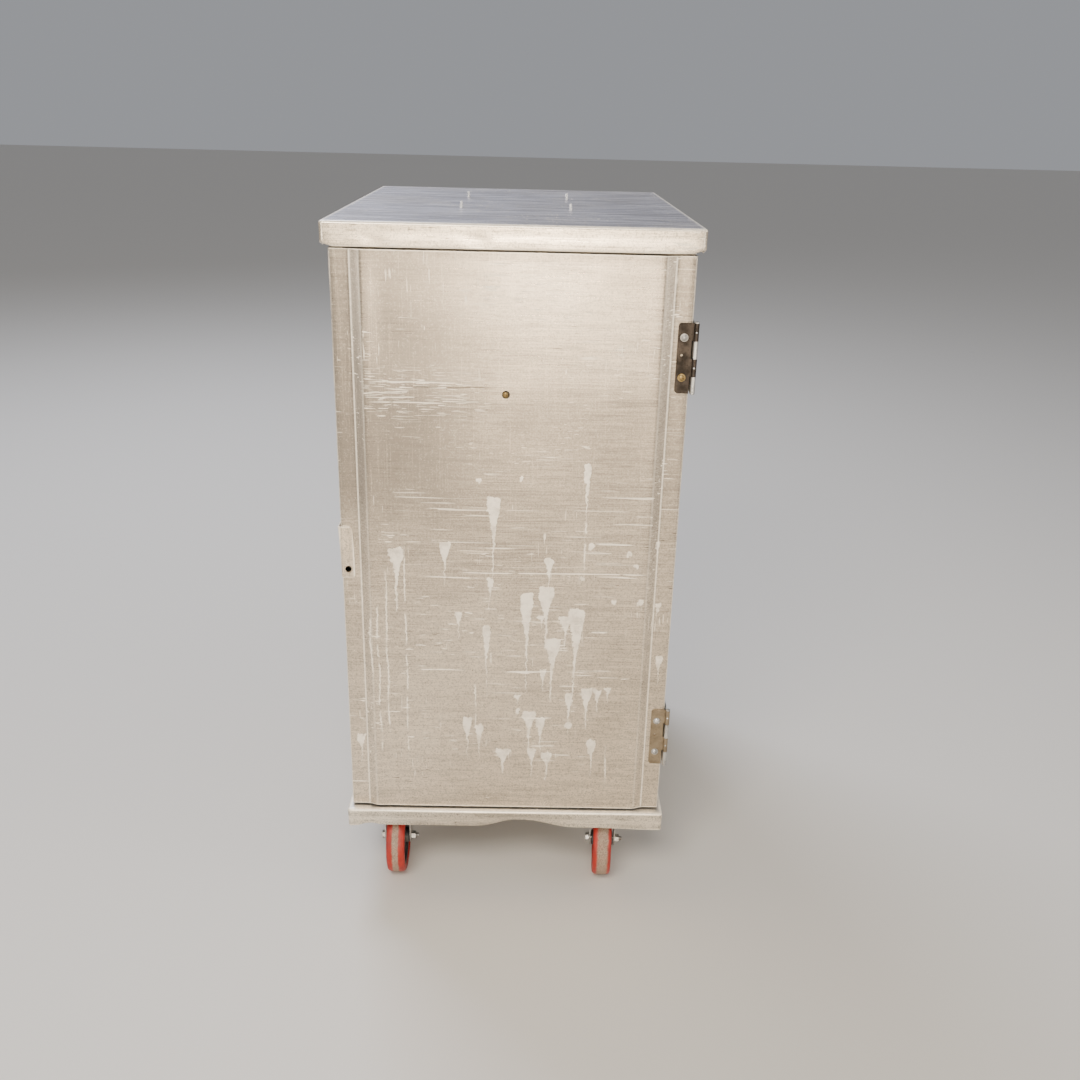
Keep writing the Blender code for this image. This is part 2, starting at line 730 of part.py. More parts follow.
def make_fork(prefix, swivel):
    """The fork: two pressed legs under a round crown, bored for the kingpin and the axle."""
    name = prefix + "_caster_fork"
    fork = outline_solid(name, fork_side_outline(), FORK_OUTER, ZINC_STEEL, swivel)
    fork.matrix_basis = across_x()
    inner = FORK_OUTER / 2 - FORK_WALL
    channel = add_box(
        name + "_channel",
        (-inner, -SWIVEL_LEAD - WHEEL_RADIUS, -CUT),
        (inner, WHEEL_RADIUS, FORK_ROOF),
        parent=swivel,
        tool=True,
    )
    combine(fork, channel, "DIFFERENCE")
    crown_low = FORK_ROOF + FORK_ROOF_THICKNESS / 2
    crown = add_cylinder(
        name + "_crown",
        (0.0, 0.0, (crown_low + FORK_CROWN_TOP) / 2),
        FORK_CROWN_RADIUS,
        FORK_CROWN_TOP - crown_low,
        "Z",
        ROUND_STEPS,
        parent=swivel,
        tool=True,
    )
    combine(fork, crown, "UNION")
    drill(
        fork, (0.0, 0.0, FORK_ROOF), KINGPIN_RADIUS + HOLE_CLEARANCE, 3 * CUT, "Z", parent=swivel
    )
    axle = (0.0, -SWIVEL_LEAD, WHEEL_RADIUS)
    drill(fork, axle, AXLE_RADIUS + HOLE_CLEARANCE, FORK_OUTER + CUT, "X", parent=swivel)


def both_sides(side):
    """A turned profile made of one side and its mirror image."""
    return side + [(radius, -height) for radius, height in reversed(side)]


def make_wheel(prefix, spin):
    """A cast tread on a moulded hub, both turned about the axle."""
    half = WHEEL_WIDTH / 2
    tread_side = [
        (TREAD_RADIUS + GAP, half - HUB_RIM_INSET),
        (TREAD_RADIUS + HUB_RIM, half),
        (WHEEL_RADIUS - TREAD_CHAMFER, half),
        (WHEEL_RADIUS - TREAD_CHAMFER / 4, half - TREAD_SHOULDER / 2),
        (WHEEL_RADIUS, half - TREAD_SHOULDER),
    ]
    rim = half - HUB_RIM_INSET
    core = HUB_LENGTH / 2
    hub_side = [
        (HUB_BORE, core),
        (HUB_CORE_RADIUS, core),
        (HUB_CORE_RADIUS + WELD, rim * HUB_WEB_SHARES[0]),
        (TREAD_RADIUS - HUB_RIM - 2 * WELD, rim * HUB_WEB_SHARES[1]),
        (TREAD_RADIUS - HUB_RIM, rim),
        (TREAD_RADIUS, rim),
    ]
    tread_profile = both_sides(tread_side)
    hub_profile = both_sides(hub_side)
    tread = add_turned(prefix + "_wheel_tread", tread_profile, WHEEL_STEPS, TREAD, spin, closed=True)
    hub = add_turned(prefix + "_wheel_hub", hub_profile, WHEEL_STEPS, HUB, spin, closed=True)
    for obj in (tread, hub):
        obj.rotation_euler = (0.0, math.pi / 2, 0.0)


def make_axle(prefix, swivel):
    """The axle bolt with its hexagonal head on the left, and a nut on the right."""
    half = FORK_OUTER / 2
    axle = (0.0, -SWIVEL_LEAD, WHEEL_RADIUS)
    hex_radius = AXLE_HEX / math.sqrt(3)
    shank_end = half + GAP + AXLE_NUT + AXLE_END
    shank_start = -half - GAP - WELD
    bolt = add_cylinder(
        prefix + "_axle_bolt",
        ((shank_end + shank_start) / 2, axle[1], axle[2]),
        AXLE_RADIUS,
        shank_end - shank_start,
        "X",
        SMALL_STEPS,
        ZINC_STEEL,
        swivel,
    )
    head = add_cylinder(
        prefix + "_axle_bolt_head",
        (-half - GAP - AXLE_HEAD / 2, axle[1], axle[2]),
        hex_radius,
        AXLE_HEAD,
        "X",
        6,
        parent=swivel,
        tool=True,
    )
    combine(bolt, head, "UNION")
    nut = add_cylinder(
        prefix + "_axle_nut",
        (half + GAP + AXLE_NUT / 2, axle[1], axle[2]),
        hex_radius,
        AXLE_NUT,
        "X",
        6,
        ZINC_STEEL,
        swivel,
    )
    middle = (half + AXLE_NUT / 2, axle[1], axle[2])
    drill(nut, middle, AXLE_RADIUS + HOLE_CLEARANCE, CUT, "X", swivel)


def make_caster(prefix, side_x, side_y, degrees):
    """A swivel caster: its top plate and kingpin are fixed, its fork swivels, and its wheel spins."""
    shift = FRONT_CASTER_SHIFT if side_y < 0 else 0.0
    place = (side_x * CASTER_X + shift, side_y * CASTER_Y, 0.0)
    width, depth, thickness = CASTER_PLATE
    mount = add_empty(prefix + "_caster_mount", place)
    plate = add_box(
        prefix + "_caster_plate",
        (-width / 2, -depth / 2, CASTER_HEIGHT - thickness),
        (width / 2, depth / 2, CASTER_HEIGHT),
        ZINC_STEEL,
        mount,
    )
    race_high = CASTER_HEIGHT - thickness / 2
    race = add_cylinder(
        prefix + "_caster_race",
        (0.0, 0.0, (CASTER_RACE_LOW + race_high) / 2),
        CASTER_RACE_RADIUS,
        race_high - CASTER_RACE_LOW,
        "Z",
        ROUND_STEPS,
        parent=mount,
        tool=True,
    )
    combine(plate, race, "UNION")
    drill(
        plate, (0.0, 0.0, CASTER_HEIGHT), KINGPIN_RADIUS + HOLE_CLEARANCE, 2 * CUT, "Z", parent=mount
    )
    head_low = FORK_ROOF - KINGPIN_HEAD
    kingpin_profile = [
        (0.0, CASTER_HEIGHT),
        (KINGPIN_RADIUS, CASTER_HEIGHT),
        (KINGPIN_RADIUS, FORK_ROOF - GAP),
        (KINGPIN_HEAD_RADII[0], FORK_ROOF - GAP),
        (KINGPIN_HEAD_RADII[1], head_low),
        (0.0, head_low),
    ]
    add_turned(prefix + "_caster_kingpin", kingpin_profile, SMALL_STEPS, ZINC_STEEL, mount)
    swivel = add_empty(prefix + "_swivel_axis", place, turn=math.radians(degrees))
    spin = add_empty(prefix + "_wheel_axis", (0.0, -SWIVEL_LEAD, WHEEL_RADIUS), swivel)
    make_fork(prefix, swivel)
    make_axle(prefix, swivel)
    make_wheel(prefix, spin)


def build():
    """Makes the whole cabinet."""
    make_base()
    make_body()
    make_cap()
    make_roof_screws()
    make_rack("left_pan_rack", -1)
    make_rack("right_pan_rack", 1)
    make_magnet()
    axis = add_empty("door_axis", (HINGE_X, HINGE_Y, 0.0))
    skin = make_door(axis)
    make_catch(axis)
    make_hinge("upper", HINGE_LOWS["upper"], axis, skin, DARK_STEEL, (BRASS, ZINC_STEEL))
    make_hinge("lower", HINGE_LOWS["lower"], axis, skin, NICKEL, (ZINC_STEEL, ZINC_STEEL))
    for caster in CASTERS:
        make_caster(*caster)


build()
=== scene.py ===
"""The looks of an old aluminium sheet-pan cabinet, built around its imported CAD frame.

Every piece is made in the row frame, in metres, and rides on the body that carries it.
"""

import json
import math
import bmesh
import bpy
from mathutils import Matrix, Vector, noise


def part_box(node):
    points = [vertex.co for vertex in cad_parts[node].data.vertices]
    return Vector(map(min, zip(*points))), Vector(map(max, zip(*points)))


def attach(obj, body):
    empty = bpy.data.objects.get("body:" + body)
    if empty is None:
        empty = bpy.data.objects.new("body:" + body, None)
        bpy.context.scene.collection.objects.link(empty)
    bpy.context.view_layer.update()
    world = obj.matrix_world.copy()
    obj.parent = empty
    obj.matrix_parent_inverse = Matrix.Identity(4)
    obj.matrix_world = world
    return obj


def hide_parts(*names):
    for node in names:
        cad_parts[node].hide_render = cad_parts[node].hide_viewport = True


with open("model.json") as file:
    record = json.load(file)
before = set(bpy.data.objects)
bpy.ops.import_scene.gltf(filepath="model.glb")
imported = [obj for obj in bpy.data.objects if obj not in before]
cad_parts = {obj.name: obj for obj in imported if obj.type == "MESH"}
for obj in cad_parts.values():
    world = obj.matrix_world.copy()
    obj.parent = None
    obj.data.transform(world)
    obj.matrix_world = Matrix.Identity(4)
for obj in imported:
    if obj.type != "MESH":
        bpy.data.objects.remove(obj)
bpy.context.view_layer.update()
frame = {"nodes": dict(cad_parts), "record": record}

RECORD = frame["record"]

# Sheet metal: its thickness, its bends' radius, a hem's depth, and a rivet's radius and height.
SHEET = 0.0016
BEND = 0.0028
HEM = 0.0085
RIVET = (0.0032, 0.0011)

# The camera, as the cabinet was seen: above it and a little to its right, looking down.
EYE = Vector((0.0211, -1.9219, 1.2749))
PITCH = math.radians(21.51)
YAW = math.radians(0.96)
ROLL = math.radians(1.447)
LENS = 36.533
SENSOR = 36.0

CASTERS = ("front_left", "front_right", "rear_left", "rear_right")


def box_of(node):
    """The lowest and highest corner of a CAD node, and its middle."""
    low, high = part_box(node)
    return low, high, (low + high) / 2


# ---------------------------------------------------------------- shapes


def smooth_step(value, low, high):
    """0 below low, 1 above high, and an even curve between."""
    share = min(1.0, max(0.0, (value - low) / (high - low)))
    return share * share * (3 - 2 * share)


def bell(value, middle, width):
    """A bump of height 1 at middle."""
    return math.exp(-(((value - middle) / width) ** 2))


def spread(low, high, step):
    """Evenly spaced values from low to high, at most step apart."""
    count = max(1, math.ceil(abs(high - low) / step))
    return [low + (high - low) * i / count for i in range(count + 1)]


def rounded(points, radii, segments=5):
    """A path in two dimensions with each inner corner turned into an arc, of one radius or of its own."""
    if not isinstance(radii, tuple):
        radii = (radii,) * (len(points) - 2)
    path = [Vector(points[0])]
    for before, corner, after, radius in zip(points, points[1:], points[2:], radii):
        before, corner, after = Vector(before), Vector(corner), Vector(after)
        arrive = (corner - before).normalized()
        leave = (after - corner).normalized()
        turn = arrive.angle_signed(leave)
        if abs(turn) < 1e-4:
            path.append(corner)
            continue
        reach = radius * math.tan(abs(turn) / 2)
        start = corner - arrive * reach
        for i in range(segments + 1):
            share = i / segments
            angle = abs(turn) * share
            along = arrive * math.sin(angle) * radius
            side = Vector((-arrive.y, arrive.x)) if turn < 0 else Vector((arrive.y, -arrive.x))
            path.append(start + along + side * (1 - math.cos(angle)) * radius)
    path.append(Vector(points[-1]))
    return path


def divided(path, step):
    """A path whose long straight runs are cut into shorter ones."""
    made = [path[0]]
    for start, end in zip(path, path[1:]):
        count = max(1, math.ceil((end - start).length / step))
        made += [start.lerp(end, i / count) for i in range(1, count + 1)]
    return made


def parallel(path, distance):
    """A path beside another, to its left for a positive distance."""
    made = []
    for i, point in enumerate(path):
        arrive = (point - path[i - 1]).normalized() if i > 0 else None
        leave = (path[i + 1] - point).normalized() if i < len(path) - 1 else arrive
        arrive = arrive or leave
        along = (arrive + leave).normalized()
        stretch = 1 / max(0.2, along.dot(leave))
        made.append(point + Vector((-along.y, along.x)) * distance * stretch)
    return made


def plain(point):
    """Leaves a point where it is."""
    return point


def around(radius, angle, height):
    """A point at an angle about Z."""
    return Vector((radius * math.cos(angle), radius * math.sin(angle), height))


def join(shape, first, second):
    """Fills the gap between two closed rows of corners. Either row can be one corner."""
    count = max(len(first), len(second))
    for i in range(count):
        j = (i + 1) % count
        near = (first[i % len(first)], first[j % len(first)])
        far = (second[j % len(second)], second[i % len(second)])
        shape.faces.new(list(dict.fromkeys(near + far)))


def add_rows(shape, rows, capped=False):
    """Joins closed rows of points. The first and last row can be filled in."""
    made = [[shape.verts.new(point) for point in row] for row in rows]
    for first, second in zip(made, made[1:]):
        join(shape, first, second)
    if capped:
        shape.faces.new(made[0])
        shape.faces.new(made[-1])
    return made


def add_sheet(shape, path, heights, place, thickness=SHEET, warp=plain):
    """A bent sheet: a path and its parallel, swept through heights and closed at both ends."""
    loop = path + parallel(path, thickness)[::-1]
    rows = [[warp(place(point.x, point.y, height)) for point in loop] for height in heights]
    made = add_rows(shape, rows)
    count = len(path)
    for row in (made[0], made[-1]):
        for i in range(count - 1):
            shape.faces.new((row[i], row[i + 1], row[2 * count - 2 - i], row[2 * count - 1 - i]))


def add_turned(shape, profile, steps, place):
    """Sweeps a profile of (radius, height) about local Z. A profile that starts off the axis is a ring."""
    rows = []
    for radius, height in profile:
        angles = [2 * math.pi * i / steps for i in range(steps if radius else 1)]
        rows.append([shape.verts.new(place @ around(radius, angle, height)) for angle in angles])
    pairs = list(zip(rows, rows[1:]))
    if profile[0][0] > 0:
        pairs.append((rows[-1], rows[0]))
    for first, second in pairs:
        join(shape, first, second)


def disc(radius, low, high):
    """The profile of a solid cylinder."""
    return [(0.0, low), (radius, low), (radius, high), (0.0, high)]


def mirrored(profile):
    """A profile and its reflection in the plane at height 0."""
    return profile + [(radius, -height) for radius, height in reversed(profile)]


def add_block(shape, low, high, place=None, edge=0.0):
    """A block with its edges broken by edge."""
    low, high = Vector(low), Vector(high)
    made = bmesh.ops.create_cube(shape, size=1.0)["verts"]
    size = high - low
    middle = (low + high) / 2
    for vert in made:
        vert.co = Vector(a * b for a, b in zip(vert.co, size)) + middle
    if edge:
        edges = list({e for v in made for e in v.link_edges})
        bevelled = bmesh.ops.bevel(
            shape, geom=edges, offset=edge, segments=2, profile=0.5, affect="EDGES"
        )
        made = list({v for f in bevelled["faces"] for v in f.verts} | {v for v in made if v.is_valid})
    if place is not None:
        for vert in made:
            vert.co = place @ vert.co


def add_plate(shape, outline, low, high, place, edge=0.0004):
    """A flat outline from low to high along local Z, with a small round at its rims."""
    rings = [(edge, low), (0.0, low + edge), (0.0, high - edge), (edge, high)]
    count = len(outline)
    middles = []
    for i, point in enumerate(outline):
        arrive = (point - outline[i - 1]).normalized()
        leave = (outline[(i + 1) % count] - point).normalized()
        along = (arrive + leave).normalized()
        middles.append(Vector((-along.y, along.x)) / max(0.3, along.dot(leave)))
    rows = []
    for inset, height in rings:
        row = []
        for point, inward in zip(outline, middles):
            spot = point + inward * inset
            row.append(place @ Vector((spot.x, spot.y, height)))
        rows.append(row)
    add_rows(shape, rows, capped=True)


def arc(middle, radius, start, end, count):
    """Points on an arc, with angles in degrees."""
    points = []
    for i in range(count + 1):
        angle = math.radians(start + (end - start) * i / count)
        points.append(Vector((middle[0] + radius * math.cos(angle), middle[1] + radius * math.sin(angle))))
    return points


def round_corners(low, high, radii, count=6):
    """A rectangle's outline, anticlockwise from the low corner, with a radius for each corner."""
    (left, bottom), (right, top) = low, high
    a, b, c, d = radii
    outline = arc((left + a, bottom + a), a, 180, 270, count)
    outline += arc((right - b, bottom + b), b, 270, 360, count)
    outline += arc((right - c, top - c), c, 0, 90, count)
    outline += arc((left + d, top - d), d, 90, 180, count)
    return outline


def grid_rectangle(low, high, corner, inset, across, along):
    """A rounded rectangle pulled in by inset, always with the same number of points."""
    left, right = low[0] + inset, high[0] - inset
    front, back = low[1] + inset, high[1] - inset
    radius = max(corner - inset, 0.0004)
    spots = (
        ((left + radius, front + radius), 180, across),
        ((right - radius, front + radius), 270, along),
        ((right - radius, back - radius), 0, across),
        ((left + radius, back - radius), 90, along),
    )
    corners = [arc(middle, radius, start, start + 90, 6) for middle, start, _ in spots]
    outline = []
    for i, (_, _, count) in enumerate(spots):
        outline += corners[i]
        end = corners[(i + 1) % 4][0]
        outline += [corners[i][-1].lerp(end, j / count) for j in range(1, count)]
    return outline


# How many parts a pan's front and sides are cut into.
TRAY_STEPS = (44, 40)


def add_tray(shape, low, high, corner, fold, hem, warp):
    """A pan turned down: a flat top, skirts folded under at their edges, and round corners."""
    top, bottom = high.z, low.z
    insets = (0.20, 0.12, 0.06, 0.03, 0.012)
    rings = [(inset, top) for inset in insets]
    rings += [
        (fold * (1 - math.sin(math.radians(a))), top - fold * (1 - math.cos(math.radians(a))))
        for a in range(0, 91, 15)
    ]
    rings += [(0.0, z) for z in spread(top - fold, bottom + SHEET, 0.004)[1:]]
    rings += [
        (SHEET * (1 - math.cos(math.radians(a))), bottom + SHEET * (1 - math.sin(math.radians(a))))
        for a in (30, 60, 90, 120, 150)
    ]
    rings += [(2 * SHEET, bottom + SHEET), (2 * SHEET, bottom + hem)]
    rings += [(SHEET, bottom + hem + 0.0004), (SHEET, top - fold), (fold, top - SHEET)]
    rings += [(inset, top - SHEET) for inset in (insets[3], insets[1], insets[0])]
    rows = []
    for inset, height in rings:
        outline = grid_rectangle(low, high, corner, inset, *TRAY_STEPS)
        rows.append([warp(Vector((point.x, point.y, height))) for point in outline])
    add_rows(shape, rows, capped=True)


def add_screw_head(shape, radius, height, place, recess="cross", steps=40):
    """A round head, pressed in along a cross or a slot, on a short collar."""
    rings = 12
    arm = radius * 0.15
    reach = radius * (0.58 if recess == "cross" else 1.2)
    rows = [[shape.verts.new(place @ Vector((0, 0, height * 0.55)))]]
    for ring in range(1, rings + 1):
        share = ring / rings
        row = []
        for i in range(steps):
            angle = 2 * math.pi * (i + 0.5) / steps
            x, y = radius * share * math.cos(angle), radius * share * math.sin(angle)
            z = height * (1 - 0.85 * share**2.6)
            pressed = 0.0
            bars = ((x, y), (y, x)) if recess == "cross" else ((x, y),)
            for a, b in bars:
                inside = 1 - smooth_step(abs(b), arm * 0.7, arm * 1.5)
                pressed = max(pressed, inside * (1 - smooth_step(abs(a), reach * 0.75, reach)))
            row.append(shape.verts.new(place @ Vector((x, y, z - pressed * height * 0.45))))
        rows.append(row)
    rim = []
    for vert in rows[-1]:
        local = place.inverted() @ vert.co
        rim.append(shape.verts.new(place @ Vector((local.x, local.y, 0.0))))
    rows.append(rim)
    for first, second in zip(rows, rows[1:]):
        join(shape, first, second)
    shape.faces.new(rim)


def add_hexagon(shape, across, low, high, place, bore=0.0):
    """A hexagonal head or nut with its corners turned off."""
    apothem = across / 2
    steps = 48
    rows = []
    for level in (0, 1, 2):
        row = []
        for i in range(steps):
            angle = 2 * math.pi * i / steps
            flat = (angle + math.pi / 6) % (math.pi / 3) - math.pi / 6
            edge = apothem / math.cos(flat)
            radius, height = edge, low
            if level == 1:
                height = high - (edge - apothem * 0.96) * 0.6
            if level == 2:
                radius, height = apothem * 0.96, high
            row.append(place @ around(radius, angle, height))
        rows.append(row)
    if not bore:
        add_rows(shape, rows, capped=True)
        return
    for height in (high, low):
        rows.append([place @ around(bore, 2 * math.pi * i / steps, height) for i in range(steps)])
    made = add_rows(shape, rows)
    join(shape, made[-1], made[0])


def add_thread(shape, radius, depth, pitch, low, high, place):
    """A screw thread with a tapered end at high."""
    steps = 20
    rows = []
    for height in spread(low, high, pitch / 6):
        end = 1 - 0.35 * smooth_step(height, high - 1.6 * pitch, high)
        row = []
        for i in range(steps):
            share = i / steps
            wave = abs(((height / pitch - share) % 1.0) * 2 - 1)
            reach = (radius - depth * wave) * end
            row.append(place @ around(reach, 2 * math.pi * share, height))
        rows.append(row)
    add_rows(shape, rows, capped=True)


def facing(point, direction):
    """A placing matrix whose local Z runs along direction."""
    turn = Vector(direction).to_track_quat("Z", "Y").to_matrix().to_4x4()
    return Matrix.Translation(point) @ turn


def piece(name, shape, body, material, replaced=(), angle=38):
    """Makes an object of a shape, shades its rounds smooth and lets it ride on its body."""
    bmesh.ops.recalc_face_normals(shape, faces=shape.faces)
    mesh = bpy.data.meshes.new(name)
    shape.to_mesh(mesh)
    shape.free()
    mesh.materials.append(material)
    mesh.shade_smooth()
    mesh.set_sharp_from_angle(angle=math.radians(angle))
    obj = bpy.data.objects.new(name, mesh)
    bpy.context.scene.collection.objects.link(obj)
    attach(obj, body)
    if replaced:
        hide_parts(*replaced)
    return obj


def soften(obj, width, segments=2):
    """Breaks an object's sharp edges."""
    bevel = obj.modifiers.new("edges", "BEVEL")
    bevel.width = width
    bevel.segments = segments
    bevel.limit_method = "ANGLE"
    bevel.angle_limit = math.radians(40)
    bevel.harden_normals = False


def cut(obj, tool_shape, operation="DIFFERENCE"):
    """Cuts a shape out of an object for good, or keeps only what lies in both."""
    mesh = bpy.data.meshes.new("tool")
    bmesh.ops.recalc_face_normals(tool_shape, faces=tool_shape.faces)
    tool_shape.to_mesh(mesh)
    tool_shape.free()
    tool = bpy.data.objects.new("tool", mesh)
    bpy.context.scene.collection.objects.link(tool)
    step = obj.modifiers.new("cut", "BOOLEAN")
    step.operation = operation
    step.object = tool
    step.solver = "EXACT"
    seen = obj.evaluated_get(bpy.context.evaluated_depsgraph_get())
    result = bpy.data.meshes.new_from_object(seen)
    obj.modifiers.remove(step)
    bpy.data.objects.remove(tool)
    obj.data = result
    result.shade_smooth()
    result.set_sharp_from_angle(angle=math.radians(38))


def drill(obj, radius, low, high, steps, place):
    """Cuts a round hole from low to high along local Z."""
    hole = bmesh.new()
    add_turned(hole, disc(radius, low, high), steps, place)
    cut(obj, hole)


def turned_piece(name, profile, steps, place, body, material, replaced=()):
    """A piece that is one turned shape."""
    shape = bmesh.new()
    add_turned(shape, profile, steps, place)
    return piece(name, shape, body, material, replaced)


def bent_piece(name, path, heights, place, thickness, warp, body, material, replaced):
    """A piece that is one bent sheet."""
    shape = bmesh.new()
    add_sheet(shape, path, heights, place, thickness, warp)
    return piece(name, shape, body, material, replaced)


def rivet_piece(name, places, direction, body, size=RIVET):
    """A piece that is a set of rivets."""
    shape = bmesh.new()
    add_rivets(shape, places, direction, size)
    return piece(name, shape, body, ZINC)


# ---------------------------------------------------------------- materials


class Look:
    """A material and short names for the nodes that paint it."""

    def __init__(self, name, roughness=0.45, metallic=1.0):
        self.material = bpy.data.materials.new(name)
        self.material.use_nodes = True
        self.tree = self.material.node_tree
        self.shader = self.tree.nodes["Principled BSDF"]
        self.shader.inputs["Roughness"].default_value = roughness
        self.shader.inputs["Metallic"].default_value = metallic
        self.place = self.node("ShaderNodeTexCoord").outputs["Object"]
        self.sheet = self.place

    def node(self, kind, *values, **settings):
        """Adds a node and gives its inputs, in order, numbers, colours or other nodes' outputs."""
        made = self.tree.nodes.new(kind)
        for key, value in settings.items():
            setattr(made, key, value)
        for socket, value in zip(made.inputs, values):
            self.feed(socket, value)
        return made

    def feed(self, socket, value):
        """Links an output to a socket, or sets the socket's value."""
        if isinstance(value, bpy.types.NodeSocket):
            self.tree.links.new(value, socket)
        elif value is not None:
            if isinstance(value, tuple) and len(value) == 3 and socket.type == "RGBA":
                value = (*value, 1.0)
            socket.default_value = value

    def maths(self, operation, first, second=0.0, third=0.0):
        """A number worked out from one, two or three others."""
        return self.node("ShaderNodeMath", first, second, third, operation=operation).outputs[0]

    def plus(self, base, value, factor):
        """A number with another, times a factor, added to it."""
        return self.maths("MULTIPLY_ADD", value, factor, base)

    def minus(self, first, second):
        """The difference of two numbers."""
        return self.maths("SUBTRACT", first, second)

    def parts(self, vector=None):
        """The x, y and z of a vector."""
        split = self.node("ShaderNodeSeparateXYZ", vector or self.place)
        return split.outputs[0], split.outputs[1], split.outputs[2]

    def scaled(self, scale, shift=(0.0, 0.0, 0.0)):
        """The place on the sheet, stretched by a scale in each direction and then moved."""
        return self.node(
            "ShaderNodeVectorMath", self.sheet, scale, shift, operation="MULTIPLY_ADD"
        ).outputs[0]

    def fold_at(self, edge):
        """Lets the brush marks follow the sheet round its folds, past |x| = edge."""
        x, y, z = self.parts()
        beyond = self.ramp(self.maths("ABSOLUTE", x), edge - 0.0012, edge - 0.0008)
        across = self.plus(x, self.minus(y, x), beyond)
        along = self.plus(y, self.minus(x, y), beyond)
        self.sheet = self.node("ShaderNodeCombineXYZ", across, along, z).outputs[0]

    def noise(self, scale, detail=2.0, roughness=0.5, vector=None):
        """Smooth noise from 0 to 1."""
        made = self.node("ShaderNodeTexNoise")
        self.feed(made.inputs["Vector"], vector or self.place)
        self.feed(made.inputs["Scale"], scale)
        self.feed(made.inputs["Detail"], detail)
        self.feed(made.inputs["Roughness"], roughness)
        return made.outputs["Fac"]

    def brushed(self, stretch, detail, roughness, shift=(0.0, 0.0, 0.0)):
        """Noise drawn out along the sheet."""
        return self.noise(1.0, detail, roughness, self.scaled(stretch, shift))

    def dots(self, scale, radius, share, vector=None):
        """Round specks of a radius in cell widths, in a share of the cells."""
        cells = self.node("ShaderNodeTexVoronoi")
        self.feed(cells.inputs["Vector"], vector or self.place)
        self.feed(cells.inputs["Scale"], scale)
        near = self.ramp(cells.outputs["Distance"], radius, radius * 0.55)
        pick = self.parts(cells.outputs["Color"])[0]
        return self.maths("MULTIPLY", near, self.ramp(pick, 1 - share, 1 - share * 0.8))

    def ramp(self, value, low, high, to_low=0.0, to_high=1.0):
        """A value eased from low to high into another range."""
        made = self.node("ShaderNodeMapRange", interpolation_type="SMOOTHSTEP")
        for key, number in (
            ("Value", value),
            ("From Min", low),
            ("From Max", high),
            ("To Min", to_low),
            ("To Max", to_high),
        ):
            self.feed(made.inputs[key], number)
        return made.outputs["Result"]

    def band(self, value, middle, width):
        """1 where a value is at middle, falling to 0 a width away."""
        away = self.maths("ABSOLUTE", self.minus(value, middle))
        return self.ramp(away, width, width * 0.3)

    def most(self, *values):
        """The greatest of several values."""
        made = values[0]
        for value in values[1:]:
            made = self.maths("MAXIMUM", made, value)
        return made

    def times(self, *values):
        """The product of several values."""
        made = values[0]
        for value in values[1:]:
            made = self.maths("MULTIPLY", made, value)
        return made

    def layer(self, colour, mask, low, high, share, shade):
        """A colour with up to a share of another laid over it, as a mask goes from low to high."""
        return self.mix(self.ramp(mask, low, high, 0.0, share), colour, shade)

    def mix(self, share, first, second):
        """A colour between two others."""
        made = self.node("ShaderNodeMix", data_type="RGBA")
        self.feed(made.inputs["Factor"], share)
        self.feed(made.inputs[6], first)
        self.feed(made.inputs[7], second)
        return made.outputs[2]

    def finish(self, colour, rough, metal, height, strength, distance):
        """Gives the surface its colour, roughness, metal and height map, and hands over the material."""
        made = self.node("ShaderNodeBump")
        for key, value in (("Strength", strength), ("Distance", distance), ("Height", height)):
            self.feed(made.inputs[key], value)
        whole = (
            ("Base Color", colour),
            ("Roughness", rough),
            ("Metallic", metal),
            ("Normal", made.outputs["Normal"]),
        )
        for key, value in whole:
            self.feed(self.shader.inputs[key], value)
        return self.material


# A scale below this runs along the brush marks.
COARSEST = 60

# The sheet's colours, as linear values: bright worn metal, dull metal, grime that also serves as painted
# shade, and dried runs.
BRIGHT = (0.88, 0.745, 0.57)
PALE = (0.52, 0.437, 0.337)
DULL = (0.36, 0.30, 0.235)
WHITE = (1.0, 0.90, 0.74)
COOL = (0.40, 0.375, 0.34)
TAUPE = (0.27, 0.232, 0.190)
CREAM = (1.0, 0.86, 0.665)
SILVER = (0.53, 0.52, 0.50)
# Painted reflection: the bluish colour of the roof pan's top.
ROOF_REFLECTION_BLUE = (0.74, 0.71, 0.86)
GRIME_AND_SHADE = (0.055, 0.043, 0.030)
DRIED = (1.0, 0.91, 0.77)

# Dried runs on the door: middle, top, half width and length, in metres.
RUNS = (
    (-0.176, 0.637, 0.0125, 0.110), (-0.100, 0.647, 0.0090, 0.075), (-0.025, 0.725, 0.0115, 0.140),
    (-0.029, 0.590, 0.0065, 0.060), (0.117, 0.780, 0.0055, 0.140), (0.063, 0.625, 0.0090, 0.060),
    (0.060, 0.576, 0.0135, 0.115), (0.029, 0.565, 0.0105, 0.185), (0.230, 0.654, 0.0045, 0.040),
    (-0.079, 0.530, 0.0065, 0.055), (-0.033, 0.508, 0.0070, 0.140), (0.090, 0.526, 0.0105, 0.065),
    (0.108, 0.540, 0.0130, 0.180), (0.072, 0.487, 0.0130, 0.120), (0.053, 0.526, 0.0075, 0.024),
    (0.057, 0.430, 0.0065, 0.045), (0.016, 0.382, 0.0060, 0.024), (0.130, 0.395, 0.0095, 0.080),
    (0.147, 0.396, 0.0075, 0.050), (0.163, 0.398, 0.0065, 0.032), (0.102, 0.385, 0.0065, 0.080),
    (0.038, 0.352, 0.0115, 0.085), (0.057, 0.338, 0.0080, 0.070), (-0.066, 0.338, 0.0080, 0.085),
    (-0.046, 0.325, 0.0080, 0.070), (0.141, 0.297, 0.0085, 0.070), (0.043, 0.282, 0.0080, 0.060),
    (0.068, 0.273, 0.0095, 0.055), (-0.005, 0.279, 0.0140, 0.050), (-0.241, 0.301, 0.0070, 0.060),
    (0.237, 0.548, 0.0055, 0.030), (0.245, 0.455, 0.0070, 0.055),
)
